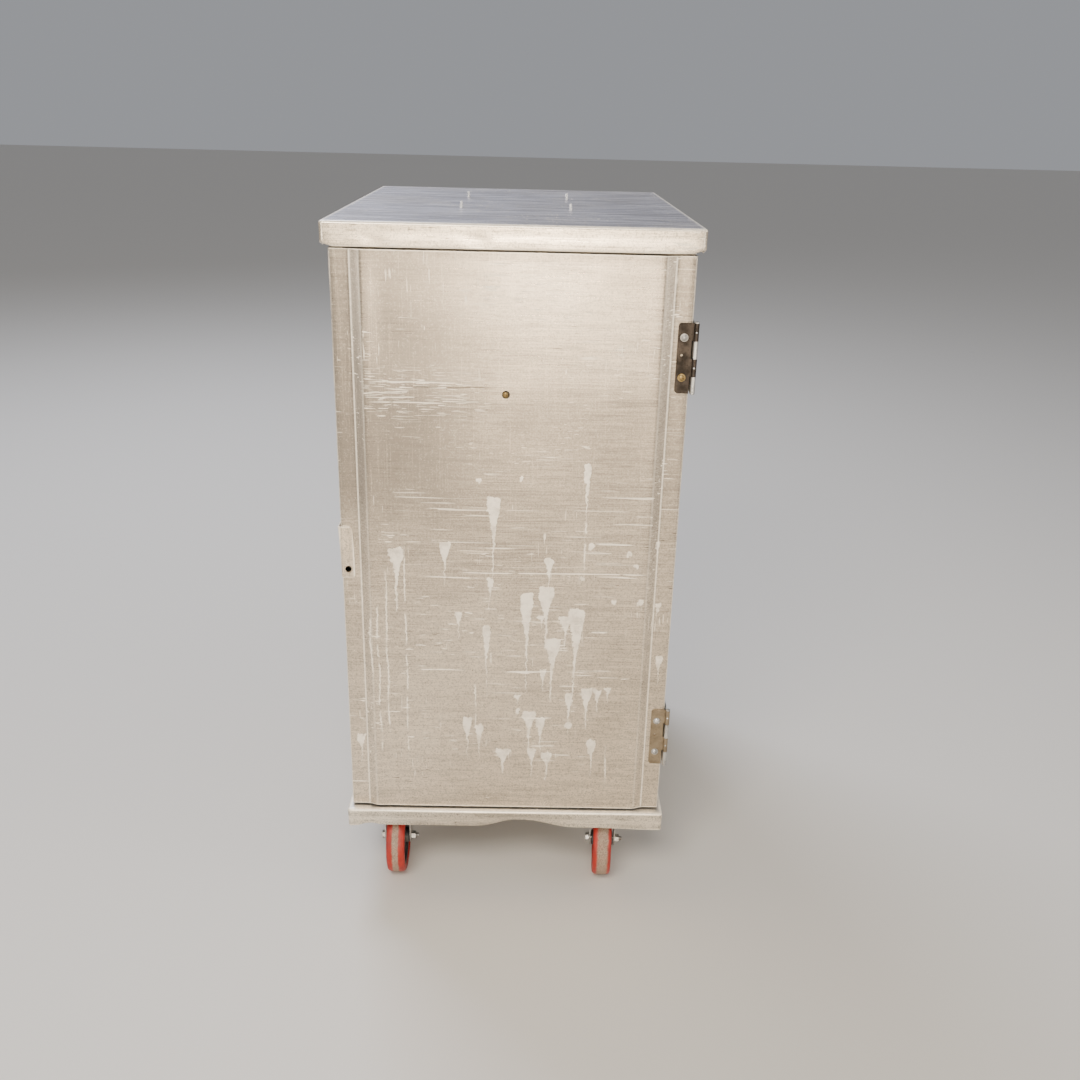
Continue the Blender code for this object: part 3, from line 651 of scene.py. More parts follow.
# How wide a run is along its length, as shares of its half width and length.
RUN_WIDTHS = (
    (0.01, 0.80), (0.06, 1.0), (0.16, 0.86), (0.30, 0.50), (0.46, 0.24), (0.66, 0.13), (0.94, 0.09)
)
# Round splashes on the door: middle, height and radius.
SPLASHES = (
    (-0.047, 0.751, 0.0045), (0.016, 0.753, 0.0030), (0.127, 0.645, 0.0050), (0.187, 0.633, 0.0045),
    (0.198, 0.613, 0.0052), (0.166, 0.550, 0.0050), (0.208, 0.551, 0.0052), (0.115, 0.590, 0.0045),
    (0.018, 0.350, 0.0040), (0.103, 0.325, 0.0065),
)
# Thin bright trickles down the door: middle, top and length.
TRICKLES = (
    (-0.207, 0.560, 0.300), (-0.193, 0.600, 0.300), (-0.163, 0.640, 0.390), (-0.218, 0.520, 0.120),
    (-0.052, 0.402, 0.090), (-0.108, 0.348, 0.040), (0.165, 0.288, 0.080), (0.118, 0.690, 0.110),
)

# Long bright hairlines across the door: height, left and right end.
HAIRLINES = (
    (0.599, -0.085, 0.225), (0.590, -0.140, -0.030), (0.898, -0.215, -0.070), (0.867, -0.215, -0.090),
    (0.640, -0.060, 0.020), (0.425, -0.160, -0.060),
)


def run_group():
    """A node group: how far a point lies inside a run that is wide at its top and trails off downwards."""
    group = bpy.data.node_groups.new("dried_run", "ShaderNodeTree")
    for name in ("X", "Z", "Middle", "Top", "Half Width", "Length"):
        group.interface.new_socket(name, in_out="INPUT", socket_type="NodeSocketFloat")
    group.interface.new_socket("Mask", in_out="OUTPUT", socket_type="NodeSocketFloat")
    nodes, links = group.nodes, group.links
    given = nodes.new("NodeGroupInput").outputs
    result = nodes.new("NodeGroupOutput").inputs[0]

    def maths(operation, first, second=None):
        made = nodes.new("ShaderNodeMath")
        made.operation = operation
        links.new(first, made.inputs[0])
        if isinstance(second, bpy.types.NodeSocket):
            links.new(second, made.inputs[1])
        elif second is not None:
            made.inputs[1].default_value = second
        return made.outputs[0]

    aside = maths("ABSOLUTE", maths("SUBTRACT", given["X"], given["Middle"]))
    down = maths("DIVIDE", maths("SUBTRACT", given["Top"], given["Z"]), given["Length"])
    curve = nodes.new("ShaderNodeFloatCurve")
    links.new(down, curve.inputs["Value"])
    line = curve.mapping.curves[0]
    line.points[0].location = (0.0, 0.0)
    line.points[1].location = (1.0, 0.0)
    for share, width in RUN_WIDTHS:
        line.points.new(share, width)
    curve.mapping.update()
    inside = maths("SUBTRACT", maths("MULTIPLY", curve.outputs[0], given["Half Width"]), aside)
    soft = nodes.new("ShaderNodeMapRange")
    soft.interpolation_type = "SMOOTHSTEP"
    links.new(inside, soft.inputs["Value"])
    soft.inputs["From Min"].default_value = 0.0
    soft.inputs["From Max"].default_value = 0.0009
    links.new(soft.outputs["Result"], result)
    return group


def door_marks(look):
    """Where the door's dried runs, splashes and trickles lie."""
    wobble = look.minus(look.noise(75.0, 3.0, 0.6), 0.5)
    drift = look.minus(look.noise(9.0, 1.0), 0.5)
    ripple = look.noise(210.0, 2.0, 0.6)
    x, _, z = look.parts()
    x = look.plus(look.plus(x, wobble, 0.009), ripple, 0.0055)
    x = look.minus(x, 0.00275)
    thin_x = look.plus(look.plus(x, wobble, -0.006), drift, 0.012)
    x = look.plus(x, drift, 0.008)
    z = look.plus(z, wobble, 0.020)
    group = run_group()
    masks = []
    for middle, top, half, length in RUNS:
        run = look.node("ShaderNodeGroup", node_tree=group)
        for socket, value in zip(run.inputs, (x, z, middle, top, half, length)):
            look.feed(socket, value)
        masks.append(run.outputs[0])
    for middle, height, radius in SPLASHES:
        across = look.minus(x, middle)
        up = look.minus(z, height)
        away = look.maths(
            "SQRT", look.plus(look.maths("MULTIPLY", up, up), across, across)
        )
        masks.append(look.ramp(away, radius, radius * 0.8))
    trickles = []
    for middle, top, length in TRICKLES:
        line = look.band(thin_x, middle, 0.0016)
        upper = look.ramp(z, top, top - 0.01)
        lower = look.ramp(z, top - length, top - length + 0.03)
        trickles.append(look.times(line, upper, lower))
    broken = look.ramp(look.noise(38.0, 2.0), 0.34, 0.52)
    return look.most(*masks), look.times(look.most(*trickles), broken)


def stretched(grain, along, across):
    """A grain's scales, changed along its marks, where they are small, and across them."""
    return tuple(value * (along if value < COARSEST else across) for value in grain)


def scratches(look, stretch, shift, low, share):
    """Short bright scratches: thin noise cut off sharply, kept only where a second noise lets them be."""
    lines = look.brushed(stretch, 1.0, 0.45, shift)
    where = look.noise(7.0, 2.0, 0.6, look.scaled((1, 1, 2.4), shift))
    return look.times(look.ramp(lines, low, low + 0.025), look.ramp(where, 0.60 - share, 0.70 - share))


def rubbed(look, long):
    """Scratches crowded across the door's left side, and a few long ones over its whole width."""
    x, _, z = look.parts()
    sway = look.plus(look.minus(z, 0.003), look.noise(7.0, 1.0), 0.006)
    crowd = look.times(look.band(z, 0.880, 0.050), look.ramp(x, 0.03, -0.10), look.ramp(x, -0.221, -0.214))
    lower = look.times(look.band(z, 0.690, 0.11), look.ramp(x, -0.23, -0.15), 0.75)
    many = look.brushed((34, 560, 560), 1.0, 0.45, (4, 2, 9))
    few = look.brushed(stretched(long, 0.55, 1.0), 1.0, 0.35, (7, 5, 2))
    specks = look.times(look.dots(150.0, 0.14, 0.07), look.ramp(z, 0.78, 0.45))
    lines = []
    for height, left, right in HAIRLINES:
        ends = look.times(look.ramp(x, left, left + 0.03), look.ramp(x, right, right - 0.03))
        lines.append(look.times(look.band(sway, height, 0.0012), ends))
    return (
        specks,
        look.times(look.most(*lines), look.ramp(look.noise(60.0, 2.0), 0.30, 0.45)),
        look.times(look.ramp(many, 0.615, 0.640), crowd),
        look.times(look.ramp(few, 0.69, 0.71), lower),
    )


def gouge(look):
    """One long dark score across the door's upper left."""
    x, _, z = look.parts()
    sway = look.plus(z, look.noise(14.0, 1.0), 0.012)
    line = look.band(sway, 0.8965, 0.0013)
    return look.times(line, look.ramp(x, -0.020, -0.045), look.ramp(x, -0.175, -0.120), 0.9)


def aluminium(
    name, grain, cross, wear=1.0, marks=None, edges=None, tint=None, inner=False, coarse=0.15, fold=None
):
    """Brushed and scratched sheet. Grain and cross say how the brush marks are stretched."""
    look = Look(name)
    if fold:
        look.fold_at(fold)
    cloud = look.noise(4.2, 4.0, 0.58)
    patch = look.noise(2.1, 3.0, 0.55, look.scaled((1, 1, 1), (3.1, 0.7, 1.9)))
    brush = look.brushed(grain, 4.0, 0.75)
    streaks = look.brushed(stretched(grain, 1.3, 0.25), 3.0, 0.6)
    fine = look.brushed(stretched(grain, 2.3, 2.3), 2.0, 0.6, (5, 9, 2))
    weave = look.brushed(cross, 3.0, 0.7)
    short = stretched(grain, 4.5, 0.85)
    long = stretched(grain, 1.6, 0.80)
    upright = stretched(cross, 4.0, 0.90)
    grit = look.noise(430.0, 2.0, 0.65)
    worn = look.most(
        scratches(look, short, (1, 4, 7), 0.668, 0.085),
        scratches(look, long, (6, 1, 3), 0.690, 0.070),
        look.times(scratches(look, upright, (2, 8, 3), 0.695, 0.050), 0.8),
        look.dots(95.0, 0.10, 0.02),
    )
    if marks:
        worn = look.most(worn, *rubbed(look, long))
    dark = scratches(look, short, (11, 3, 1), 0.70, 0.04)
    if marks:
        dark = look.most(dark, gouge(look))
    pits = look.dots(130.0, 0.13, 0.08, look.scaled((1, 1, 1), (0.31, 0.17, 0.23)))

    colour = look.mix(look.ramp(cloud, 0.34, 0.68), DULL, PALE)
    colour = look.layer(colour, patch, 0.45, 0.70, 0.45, COOL)
    colour = look.layer(colour, streaks, 0.36, 0.66, coarse, PALE)
    colour = look.layer(colour, brush, 0.34, 0.70, 0.25 if inner else 0.65, BRIGHT)
    # A tint: on the door, the pans' tops and the header it is painted shade and painted reflection; on
    # other sheets a tone or wear of the metal.
    if tint:
        share, shade = tint(look)
        colour = look.mix(share, colour, shade)
    colour = look.layer(colour, streaks, 0.50, 0.36, 0.9 * coarse, TAUPE)
    colour = look.layer(colour, fine, 0.50, 0.30, 0.30 if inner else 0.50, TAUPE)
    colour = look.layer(colour, weave, 0.54, 0.72, 0.30, BRIGHT)
    colour = look.layer(colour, grit, 0.50, 0.34, 0.55 * wear, TAUPE)
    colour = look.layer(colour, grit, 0.56, 0.70, 0.22 * wear, WHITE)
    colour = look.mix(look.times(dark, 0.80 * wear), colour, GRIME_AND_SHADE)
    colour = look.mix(look.times(pits, 0.70 * wear), colour, GRIME_AND_SHADE)
    rough = look.ramp(brush, 0.25, 0.75, 0.22, 0.36)
    rough = look.plus(rough, cloud, 0.06)
    metal = look.ramp(cloud, 0.2, 0.8, 0.94, 0.82)
    height = look.plus(look.times(worn, -0.6), brush, 0.35)
    height = look.plus(height, grit, 0.25)
    if marks:
        runs, trickles = marks(look)
        patchy = look.ramp(look.noise(70.0, 4.0, 0.7), 0.30, 0.60, 0.48, 0.92)
        stain = look.times(runs, patchy)
        colour = look.mix(stain, colour, DRIED)
        colour = look.mix(look.times(trickles, 0.9), colour, WHITE)
        rough = look.plus(rough, stain, 0.12)
        metal = look.plus(metal, stain, -0.40)
        metal = look.plus(metal, trickles, -0.55)
        height = look.plus(height, runs, 0.5)
    if edges:
        bright, grime_shade_and_reflection, specks = edges(look)
        ragged = look.ramp(look.noise(160.0, 3.0, 0.65), 0.30, 0.58)
        rims = look.times(bright, look.plus(0.65, ragged, 0.35))
        worn = look.most(worn, specks)
        crumbs = look.ramp(look.noise(300.0, 3.0, 0.7), 0.54, 0.62)
        # Grime, and on the door painted shadow under the cap and a painted dark reflection in its bevels,
        # darken the sheet.
        colour = look.mix(look.times(grime_shade_and_reflection, crumbs, 0.80), colour, GRIME_AND_SHADE)
        film = look.ramp(look.noise(24.0, 3.0, 0.6), 0.30, 0.7, 0.0, 0.45)
        colour = look.mix(look.times(grime_shade_and_reflection, film), colour, GRIME_AND_SHADE)
        rough = look.plus(rough, grime_shade_and_reflection, 0.10)
    colour = look.mix(look.times(worn, 0.97 * wear), colour, WHITE)
    rough = look.plus(rough, worn, 0.10)
    metal = look.plus(metal, worn, -0.75 * wear)
    if edges:
        # Bright edge lines go on last; on the pans' upper folds they are a painted highlight.
        colour = look.mix(rims, colour, WHITE)
        rough = look.plus(rough, rims, 0.05)
        metal = look.plus(metal, rims, -0.55)
    return look.finish(colour, rough, metal, height, 0.10 if inner else 0.26, 0.0006)


def door_painted_light(look):
    """Painted shade darkens the door downwards from its top, and it is darker down its left side and at its
    right edge; a painted reflection of the floor lightens its lower part.
    """
    x, _, z = look.parts()
    sway = look.minus(look.noise(3.0, 3.0, 0.6), 0.5)
    height = look.plus(z, sway, 0.35)
    # Painted shade: the door grows darker downwards from its top.
    dull = look.ramp(height, 1.00, 0.80, 0.0, 0.34)
    left = look.times(look.ramp(x, 0.06, -0.15), look.ramp(height, 1.10, 0.93, 0.60, 1.0), 0.86)
    right = look.ramp(x, 0.17, 0.24, 0.0, 0.45)
    floor_reflection_zone = look.ramp(height, 0.80, 0.55)
    share = look.plus(0.0, look.most(dull, left, right), look.minus(1.0, floor_reflection_zone))
    # Painted reflection of the floor: the lower door is lightened towards its bottom.
    lower = look.times(floor_reflection_zone, look.ramp(height, 0.70, 0.25, 0.10, 0.62))
    return look.most(share, lower), look.mix(floor_reflection_zone, TAUPE, BRIGHT)


def tray_reflection_tint(node, flat, skirt, streaky):
    """A pan's flat top is painted a colour of its own with brush bars, as a painted reflection of what lies
    above it. Its skirt is given a pale colour.
    """
    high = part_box(node)[1]

    def tint(look):
        top = look.ramp(look.parts()[2], high.z - 0.0022, high.z - 0.0010)
        cloud = look.ramp(look.noise(5.0, 3.0, 0.6), 0.3, 0.7, 0.65, 0.95)
        bars = look.ramp(look.brushed((7, 55, 55), 4.0, 0.75), 0.34, 0.66)
        darker = tuple((1 - 0.5 * streaky) * v for v in flat)
        lighter = tuple(min(1.0, (1 + 0.3 * streaky) * v) for v in flat)
        brushed = look.mix(bars, darker, lighter)
        # The top takes the painted reflection colour; the skirt takes its pale colour.
        return cloud, look.mix(top, skirt, brushed)

    return tint


def door_edges(look):
    """Bright bends and rims on the door; grime at its foot and on its flanges, grime with a painted dark
    reflection in its bevels, and painted shadow along its top under the cap.
    """
    x, y, z = look.parts()
    side = look.maths("ABSOLUTE", x)
    low, high, _ = box_of("door_skin")
    bend = look.times(look.band(side, PANEL_HALF, 0.0020), 0.25)
    foot = look.times(look.band(side, PANEL_HALF + BEVEL, 0.0018), 0.8)
    rim = look.band(side, high.x, 0.0026)
    ends = look.most(look.band(z, low.z, 0.0020), look.band(z, high.z, 0.0020))
    front = look.ramp(y, high.y - 0.006, high.y - 0.012)
    # In the bevels a darker band: partly grime, partly a painted dark reflection.
    bevel_grime_and_reflection = look.times(look.band(side, PANEL_HALF + BEVEL * 0.75, 0.0085), 0.20)
    low_dirt = look.ramp(z, low.z + 0.060, low.z, 0.0, 0.32)
    # Painted shadow along the door's top, under the cap's skirt.
    under_cap_shadow = look.times(look.band(z, high.z, 0.016), 0.35)
    flange = look.times(look.ramp(side, PANEL_HALF + BEVEL, PANEL_HALF + 1.4 * BEVEL), 0.16)
    grime_shade_and_reflection = look.most(bevel_grime_and_reflection, low_dirt, under_cap_shadow, flange)
    return look.times(look.most(bend, foot, rim, ends), front), grime_shade_and_reflection, 0.0


def tray_edges(node, dirt=1.0):
    """A painted highlight along a pan's upper fold, a bright line along its lower hem, and grime on its
    skirt.
    """
    low, high, _ = box_of(node)

    def edges(look):
        x, y, z = look.parts()
        fold = look.most(look.band(x, low.x, 0.010), look.band(x, high.x, 0.010))
        fold = look.most(fold, look.band(y, low.y, 0.010), look.band(y, high.y, 0.010))
        # Painted highlight: the upper fold is lit bright from above.
        upper = look.times(look.band(z, high.z, 0.0042), fold)
        hem = look.times(look.band(z, low.z, 0.0030), 0.9)
        skirt = look.ramp(z, high.z - 0.0035, high.z - 0.005)
        below_fold = look.times(look.band(z, high.z - 0.009, 0.008), skirt)
        above_hem = look.times(look.band(z, low.z + 0.007, 0.006), skirt)
        specks = look.times(look.dots(36.0, 0.095, 0.45), look.ramp(z, high.z - 0.003, high.z - 0.001))
        return look.most(upper, hem), look.times(look.most(below_fold, above_hem), dirt), specks

    return edges


def catch_edges(look):
    """The pull's rim is worn bright."""
    x, y, z = look.parts()
    low, high, _ = box_of("door_catch")
    ends = look.most(look.band(z, high.z, 0.0020), look.band(z, low.z, 0.0018))
    rim = look.most(look.band(x, high.x - 0.0004, 0.0018), ends)
    fold = look.times(look.band(x, low.x, 0.0030), look.band(y, low.y, 0.0030))
    return look.most(rim, fold), look.times(look.band(z, low.z, 0.012), 0.15), 0.0


def catch_tint(look):
    """The pull is rubbed by hands."""
    return look.ramp(look.noise(30.0, 2.0), 0.3, 0.7, 0.55, 0.9), BRIGHT


def silvered(look):
    """Sheet that hasn't yellowed as much as the door."""
    return look.ramp(look.noise(3.3, 3.0, 0.6), 0.3, 0.7, 0.55, 0.85), SILVER


def plated(name, bright, dull, rust, roughness, rusty=0.5, metallic=1.0):
    """Plated or bare metal with dull patches and darker spots."""
    look = Look(name, roughness, metallic)
    cloud = look.noise(55.0, 4.0, 0.6)
    spots = look.ramp(look.noise(260.0, 3.0, 0.65), 0.56, 0.66)
    film = look.ramp(look.noise(28.0, 4.0, 0.65, look.scaled((1, 1, 1), (2, 5, 1))), 0.50, 0.68)
    colour = look.mix(look.ramp(cloud, 0.35, 0.65), dull, bright)
    colour = look.mix(look.times(film, rusty), colour, rust)
    colour = look.mix(look.times(spots, rusty * 0.8), colour, rust)
    rough = look.ramp(cloud, 0.3, 0.7, roughness + 0.10, roughness - 0.05)
    metal = look.ramp(film, 0.0, 1.0, metallic, metallic * (1 - 0.6 * rusty))
    return look.finish(colour, rough, metal, look.plus(cloud, spots, 0.6), 0.18, 0.0004)


def polyurethane():
    """Red tread with a grey-beige band worn and dirtied by the floor."""
    look = Look("red_polyurethane", 0.45, 0.0)
    worn = look.node("ShaderNodeAttribute", attribute_name="worn").outputs["Fac"]
    ragged = look.plus(worn, look.minus(look.noise(120.0, 3.0, 0.6), 0.5), 0.5)
    band = look.ramp(ragged, 1.35, 0.75)
    grit = look.noise(420.0, 3.0, 0.7)
    dirt = look.noise(48.0, 4.0, 0.65)
    red = look.mix(look.ramp(dirt, 0.35, 0.7), (0.37, 0.019, 0.009), (0.23, 0.012, 0.008))
    red = look.layer(red, grit, 0.60, 0.75, 0.35, (0.30, 0.06, 0.03))
    floor = look.mix(look.ramp(grit, 0.35, 0.65), (0.20, 0.145, 0.10), (0.36, 0.275, 0.20))
    colour = look.mix(look.times(band, look.ramp(dirt, 0.2, 0.6, 0.80, 0.97)), red, floor)
    rough = look.plus(look.ramp(grit, 0.3, 0.7, 0.40, 0.52), band, 0.25)
    look.shader.inputs["Specular IOR Level"].default_value = 0.45
    return look.finish(colour, rough, None, look.plus(look.times(band, -0.5), grit, 0.5), 0.25, 0.0005)


def moulded(name, colour, dust, roughness):
    """Moulded plastic with a fine grain and dust in its low places."""
    look = Look(name, roughness, 0.0)
    grain = look.noise(900.0, 2.0, 0.6)
    dusty = look.ramp(look.noise(34.0, 4.0, 0.65), 0.45, 0.72, 0.0, 0.55)
    scuff = look.ramp(look.brushed((60, 400, 400), 2.0, 0.5), 0.66, 0.72, 0.0, 0.4)
    rough = look.ramp(grain, 0.3, 0.7, roughness - 0.05, roughness + 0.12)
    return look.finish(look.mix(look.most(dusty, scuff), colour, dust), rough, None, grain, 0.20, 0.0003)


# The door's raised panel: half its width, its bevels' width and depth, and how they are bent.
PANEL_HALF = 0.2175
BEVEL = 0.0135
RAISE = 0.0055
OUTER_BEND = 0.022
INNER_BEND = 0.026
# How the brush marks are stretched: small along them, large across.
ALONG_X = (9.0, 480.0, 480.0)
ALONG_Y = (480.0, 9.0, 480.0)
UP_AND_DOWN = (480.0, 480.0, 7.0)
ROOF_CROSS = (480.0, 7.0, 480.0)

# The door's colour carries painted shade and a painted reflection of the floor.
DOOR_METAL = aluminium(
    "door_sheet", ALONG_X, UP_AND_DOWN, 1.0, door_marks, door_edges, door_painted_light, coarse=0.22
)
# The roof's top is painted blue as a painted reflection of what lies above it.
CAP_METAL = aluminium(
    "cap_sheet", ALONG_X, ROOF_CROSS, 0.9, None, tray_edges("top_cap", 0.45),
    tray_reflection_tint("top_cap", ROOF_REFLECTION_BLUE, CREAM, 1.1), coarse=0.15, fold=box_of("top_cap")[1].x,
)
# The deck's flat top is painted silver as a painted reflection.
BASE_METAL = aluminium(
    "base_sheet", ALONG_X, ROOF_CROSS, 0.8, None, tray_edges("base_deck", 0.6),
    tray_reflection_tint("base_deck", SILVER, WHITE, 0.15), coarse=0.10, fold=box_of("base_deck")[1].x,
)
SIDE_METAL = aluminium("side_sheet", ALONG_Y, UP_AND_DOWN, 0.7, tint=silvered)
BACK_METAL = aluminium("back_sheet", ALONG_X, UP_AND_DOWN, 0.7, tint=silvered)
PLAIN_METAL = aluminium("inner_sheet", ALONG_X, UP_AND_DOWN, 0.45, tint=silvered, inner=True)
# The header is painted nearly black: painted shade where it shows in the gap above the door.
SHADE_DARK_METAL = aluminium(
    "painted_shade_sheet", ALONG_X, UP_AND_DOWN, 0.3, tint=lambda look: (0.9, GRIME_AND_SHADE), inner=True
)
RACK_METAL = aluminium("rack_sheet", ALONG_Y, UP_AND_DOWN, 0.5, tint=silvered, inner=True)
CATCH_METAL = aluminium("catch_sheet", UP_AND_DOWN, ALONG_X, 1.0, None, catch_edges, catch_tint)
ZINC = plated("zinc_plate", (0.62, 0.61, 0.58), (0.42, 0.41, 0.39), (0.16, 0.12, 0.08), 0.36, 0.45)
BRIGHT_ZINC = plated(
    "bright_zinc", (0.95, 0.95, 0.94), (0.80, 0.80, 0.79), (0.30, 0.27, 0.22), 0.45, 0.20, 0.2
)
TARNISH = plated(
    "tarnished_steel", (0.072, 0.058, 0.048), (0.034, 0.028, 0.023), (0.025, 0.018, 0.013), 0.44, 0.6
)
NICKEL = plated("dull_nickel", (0.36, 0.29, 0.20), (0.25, 0.195, 0.13), (0.12, 0.085, 0.05), 0.40, 0.35)
BRASS = plated("dull_brass", (0.52, 0.38, 0.16), (0.30, 0.21, 0.09), (0.07, 0.05, 0.03), 0.36, 0.55)
POLYURETHANE = polyurethane()
HUB_PLASTIC = moulded("hub_plastic", (0.030, 0.031, 0.033), (0.22, 0.19, 0.15), 0.48)
HOUSING = moulded("magnet_housing", (0.42, 0.40, 0.36), (0.25, 0.22, 0.18), 0.52)

SHEET_METALS = (
    DOOR_METAL, CAP_METAL, BASE_METAL, SIDE_METAL, BACK_METAL, PLAIN_METAL, SHADE_DARK_METAL, CATCH_METAL
)
# The record's slot for each material.
SLOT_OF = {metal.name: "aged_aluminium_sheet" for metal in SHEET_METALS}
SLOT_OF[RACK_METAL.name] = "rack_aluminium"
SLOT_OF[ZINC.name] = SLOT_OF[BRIGHT_ZINC.name] = "zinc_plated_steel"
SLOT_OF[TARNISH.name] = "tarnished_steel"
SLOT_OF[NICKEL.name] = "nickel_plated_steel"
SLOT_OF[BRASS.name] = "brass"
SLOT_OF[POLYURETHANE.name] = "red_polyurethane"
SLOT_OF[HUB_PLASTIC.name] = "hub_plastic"
SLOT_OF[HOUSING.name] = "magnet_housing"


# ---------------------------------------------------------------- body, cap and base

# Stands an outline in (X, Z) upright, with its thickness along Y.
STAND = Matrix.Rotation(math.pi / 2, 4, "X")
# The pan racks: where their uprights stand, the ledges' face, and the ledges' number and spacing.
RACK_YS = (-0.250, 0.280)
RACK_FACE = 0.2325
LEVELS = 11
FIRST_LEDGE = 0.0729
PITCH_OF_LEDGES = 0.0762
# How far each screw's end leans over on the roof, in degrees.
SCREW_LEANS = (3, -4, 2, -3)


def upright(x, y, z):
    """A path in XY, swept upwards."""
    return Vector((x, y, z))


def sideways(y, z, x):
    """A path in YZ, swept along X."""
    return Vector((x, y, z))


def add_rivets(shape, places, direction, size=RIVET):
    """Round rivet heads that face along direction."""
    radius, height = size
    shares = ((0.0, 1.0), (0.40, 0.94), (0.75, 0.66), (0.95, 0.25), (1.0, 0.0), (0.0, 0.0))
    profile = [(radius * out, height * up) for out, up in shares]
    for place in places:
        add_turned(shape, profile, 16, facing(place, direction))


def waves(point, size, seed):
    """Gentle unevenness, from 0 to 1."""
    return 0.5 + 0.5 * noise.noise(Vector((point.x, point.y, point.z)) * size + Vector((seed, 0, 0)))


def make_cap():
    """The roof pan, a little battered along its edges, with the weld at each corner."""
    low, high, _ = box_of("top_cap")

    def warp(point):
        spot = point.copy()
        skirt = smooth_step(high.z - point.z, 0.0, 0.01)
        dent = 0.0009 * waves(point, 9, 3) * skirt
        ding = 0.0012 * smooth_step(waves(point, 34, 8), 0.66, 0.9)
        if point.y < low.y + 0.02:
            spot.y += dent + ding
            spot.z += 0.0012 * bell(point.x, 0.262, 0.02) * skirt
        if point.y > high.y - 0.02:
            spot.y -= dent + ding
        spot.x -= math.copysign(dent + ding, point.x) if abs(point.x) > high.x - 0.02 else 0.0
        if abs(point.x) < 0.25 and point.z > high.z - 0.004:
            sag = (1 - (point.x / 0.25) ** 2) * max(0.0, 1 - (point.y / 0.34) ** 2)
            spot.z -= 0.0008 * sag * waves(point, 5, 1)
        inset_x = min(1.0, (high.x - abs(point.x)) / 0.020)
        inset_y = min(1.0, (point.y - low.y) / 0.020, (high.y - point.y) / 0.020)
        corner = (1 - inset_x) * (1 - inset_y)
        spot.z += 0.009 * corner**2 * smooth_step(high.z - point.z, 0.014, 0.035)
        weld_x = abs(point.x) - (high.x - 0.012)
        if point.y < low.y + 0.003:
            spot.y -= 0.0006 * bell(weld_x, 0.0, 0.0020) * skirt
        return spot

    shape = bmesh.new()
    add_tray(shape, low, high, 0.0065, 0.0050, HEM, warp)
    piece("cap_shell", shape, "cabinet", CAP_METAL, ["top_cap"])


def make_base():
    """The base pan. Its front skirt has been run into things: one long dent and hanging corners."""
    low, high, _ = box_of("base_deck")
    depth = high.z - low.z

    def warp(point):
        spot = point.copy()
        down = smooth_step(high.z - point.z, 0.002, depth)
        if point.y < low.y + 0.012:
            left = smooth_step(point.x, -0.050, 0.018)
            right = 1 - smooth_step(point.x, 0.030, 0.120)
            main = left * right
            small = bell(point.x, -0.232, 0.014)
            middle = smooth_step(point.x, low.x + 0.006, low.x + 0.040)
            middle *= 1 - smooth_step(point.x, 0.130, high.x - 0.010)
            crumple = 0.0014 * (waves(point, 26, 4) - 0.3)
            spot.y += down * (0.0105 * main + 0.003 * small + 0.001 * middle + max(0.0, crumple))
            spot.z += down * (0.0065 * main + 0.0018 * small + 0.0022 * middle)
            crease = bell(point.x, 0.012, 0.006) * smooth_step(high.z - point.z, 0.004, 0.012)
            spot.y += 0.0016 * crease * (1 - 0.6 * down)
        else:
            spot.z += 0.0015 * down * waves(point, 8, 2)
        wave = 0.0010 * waves(point, 12, 6) * down
        if abs(point.x) > high.x - 0.02:
            spot.x -= math.copysign(wave, point.x)
        if point.y > high.y - 0.02:
            spot.y -= wave
        return spot

    shape = bmesh.new()
    add_tray(shape, low, high, 0.0050, 0.0034, HEM, warp)
    piece("base_shell", shape, "cabinet", BASE_METAL, ["base_deck"])


def make_sides():
    """The body's side panels, with the rivets that hold the pan racks."""
    for name, side in (("left", -1), ("right", 1)):
        low, high, _ = box_of(f"{name}_side_panel")
        wall, lip = (low.x, high.x) if side < 0 else (high.x, low.x)
        corners = [(lip + 0.002 * side, low.y), (wall, low.y), (wall, high.y), (lip, high.y)]
        path = divided(rounded(corners, BEND), 0.02)

        def warp(point, side=side, wall=wall, seed=side * 5):
            spot = point.copy()
            if abs(point.x - wall) < 0.004:
                middle = 1 - abs(2 * (point.z - low.z) / (high.z - low.z) - 1) ** 4
                spot.x -= side * 0.0008 * waves(point, 4.5, seed) * middle
            return spot

        bent_piece(
            f"{name}_side_sheet", path, spread(low.z, high.z, 0.02), upright, side * SHEET, warp,
            "cabinet", SIDE_METAL, [f"{name}_side_panel"],
        )
        levels = spread(low.z + 0.055, high.z - 0.070, 0.085)
        places = [(wall - side * 0.0007, y, z) for y in RACK_YS for z in levels]
        places += [(wall - side * 0.0005, y, low.z + 0.014) for y in spread(-0.29, 0.32, 0.075)]
        rivet_piece(f"{name}_side_rivets", places, (side, 0, 0), "cabinet")


def make_back():
    """The back panel, pressed with a shallow raised field, and riveted to the folded edges."""
    low, high, _ = box_of("back_panel")
    side_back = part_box("left_side_panel")[1].y

    def warp(point):
        spot = point.copy()
        inset_x = high.x - abs(point.x) - 0.045
        inset_z = min(point.z - low.z, high.z - point.z) - 0.055
        field = smooth_step(min(inset_x, inset_z), 0.0, 0.012)
        spot.y += 0.0045 * field + 0.0006 * waves(point, 5, 11)
        return spot

    path = divided([Vector((high.x, high.y)), Vector((low.x, high.y))], 0.006)
    bent_piece(
        "back_sheet", path, spread(low.z, high.z, 0.008), upright, SHEET, warp,
        "cabinet", BACK_METAL, ["back_panel"],
    )
    edge = high.x - 0.010
    levels = spread(low.z + 0.03, high.z - 0.06, 0.095)
    places = [(side * edge, side_back, z) for side in (-1, 1) for z in levels]
    rivet_piece("back_rivets", places, (0, 1, 0), "cabinet")


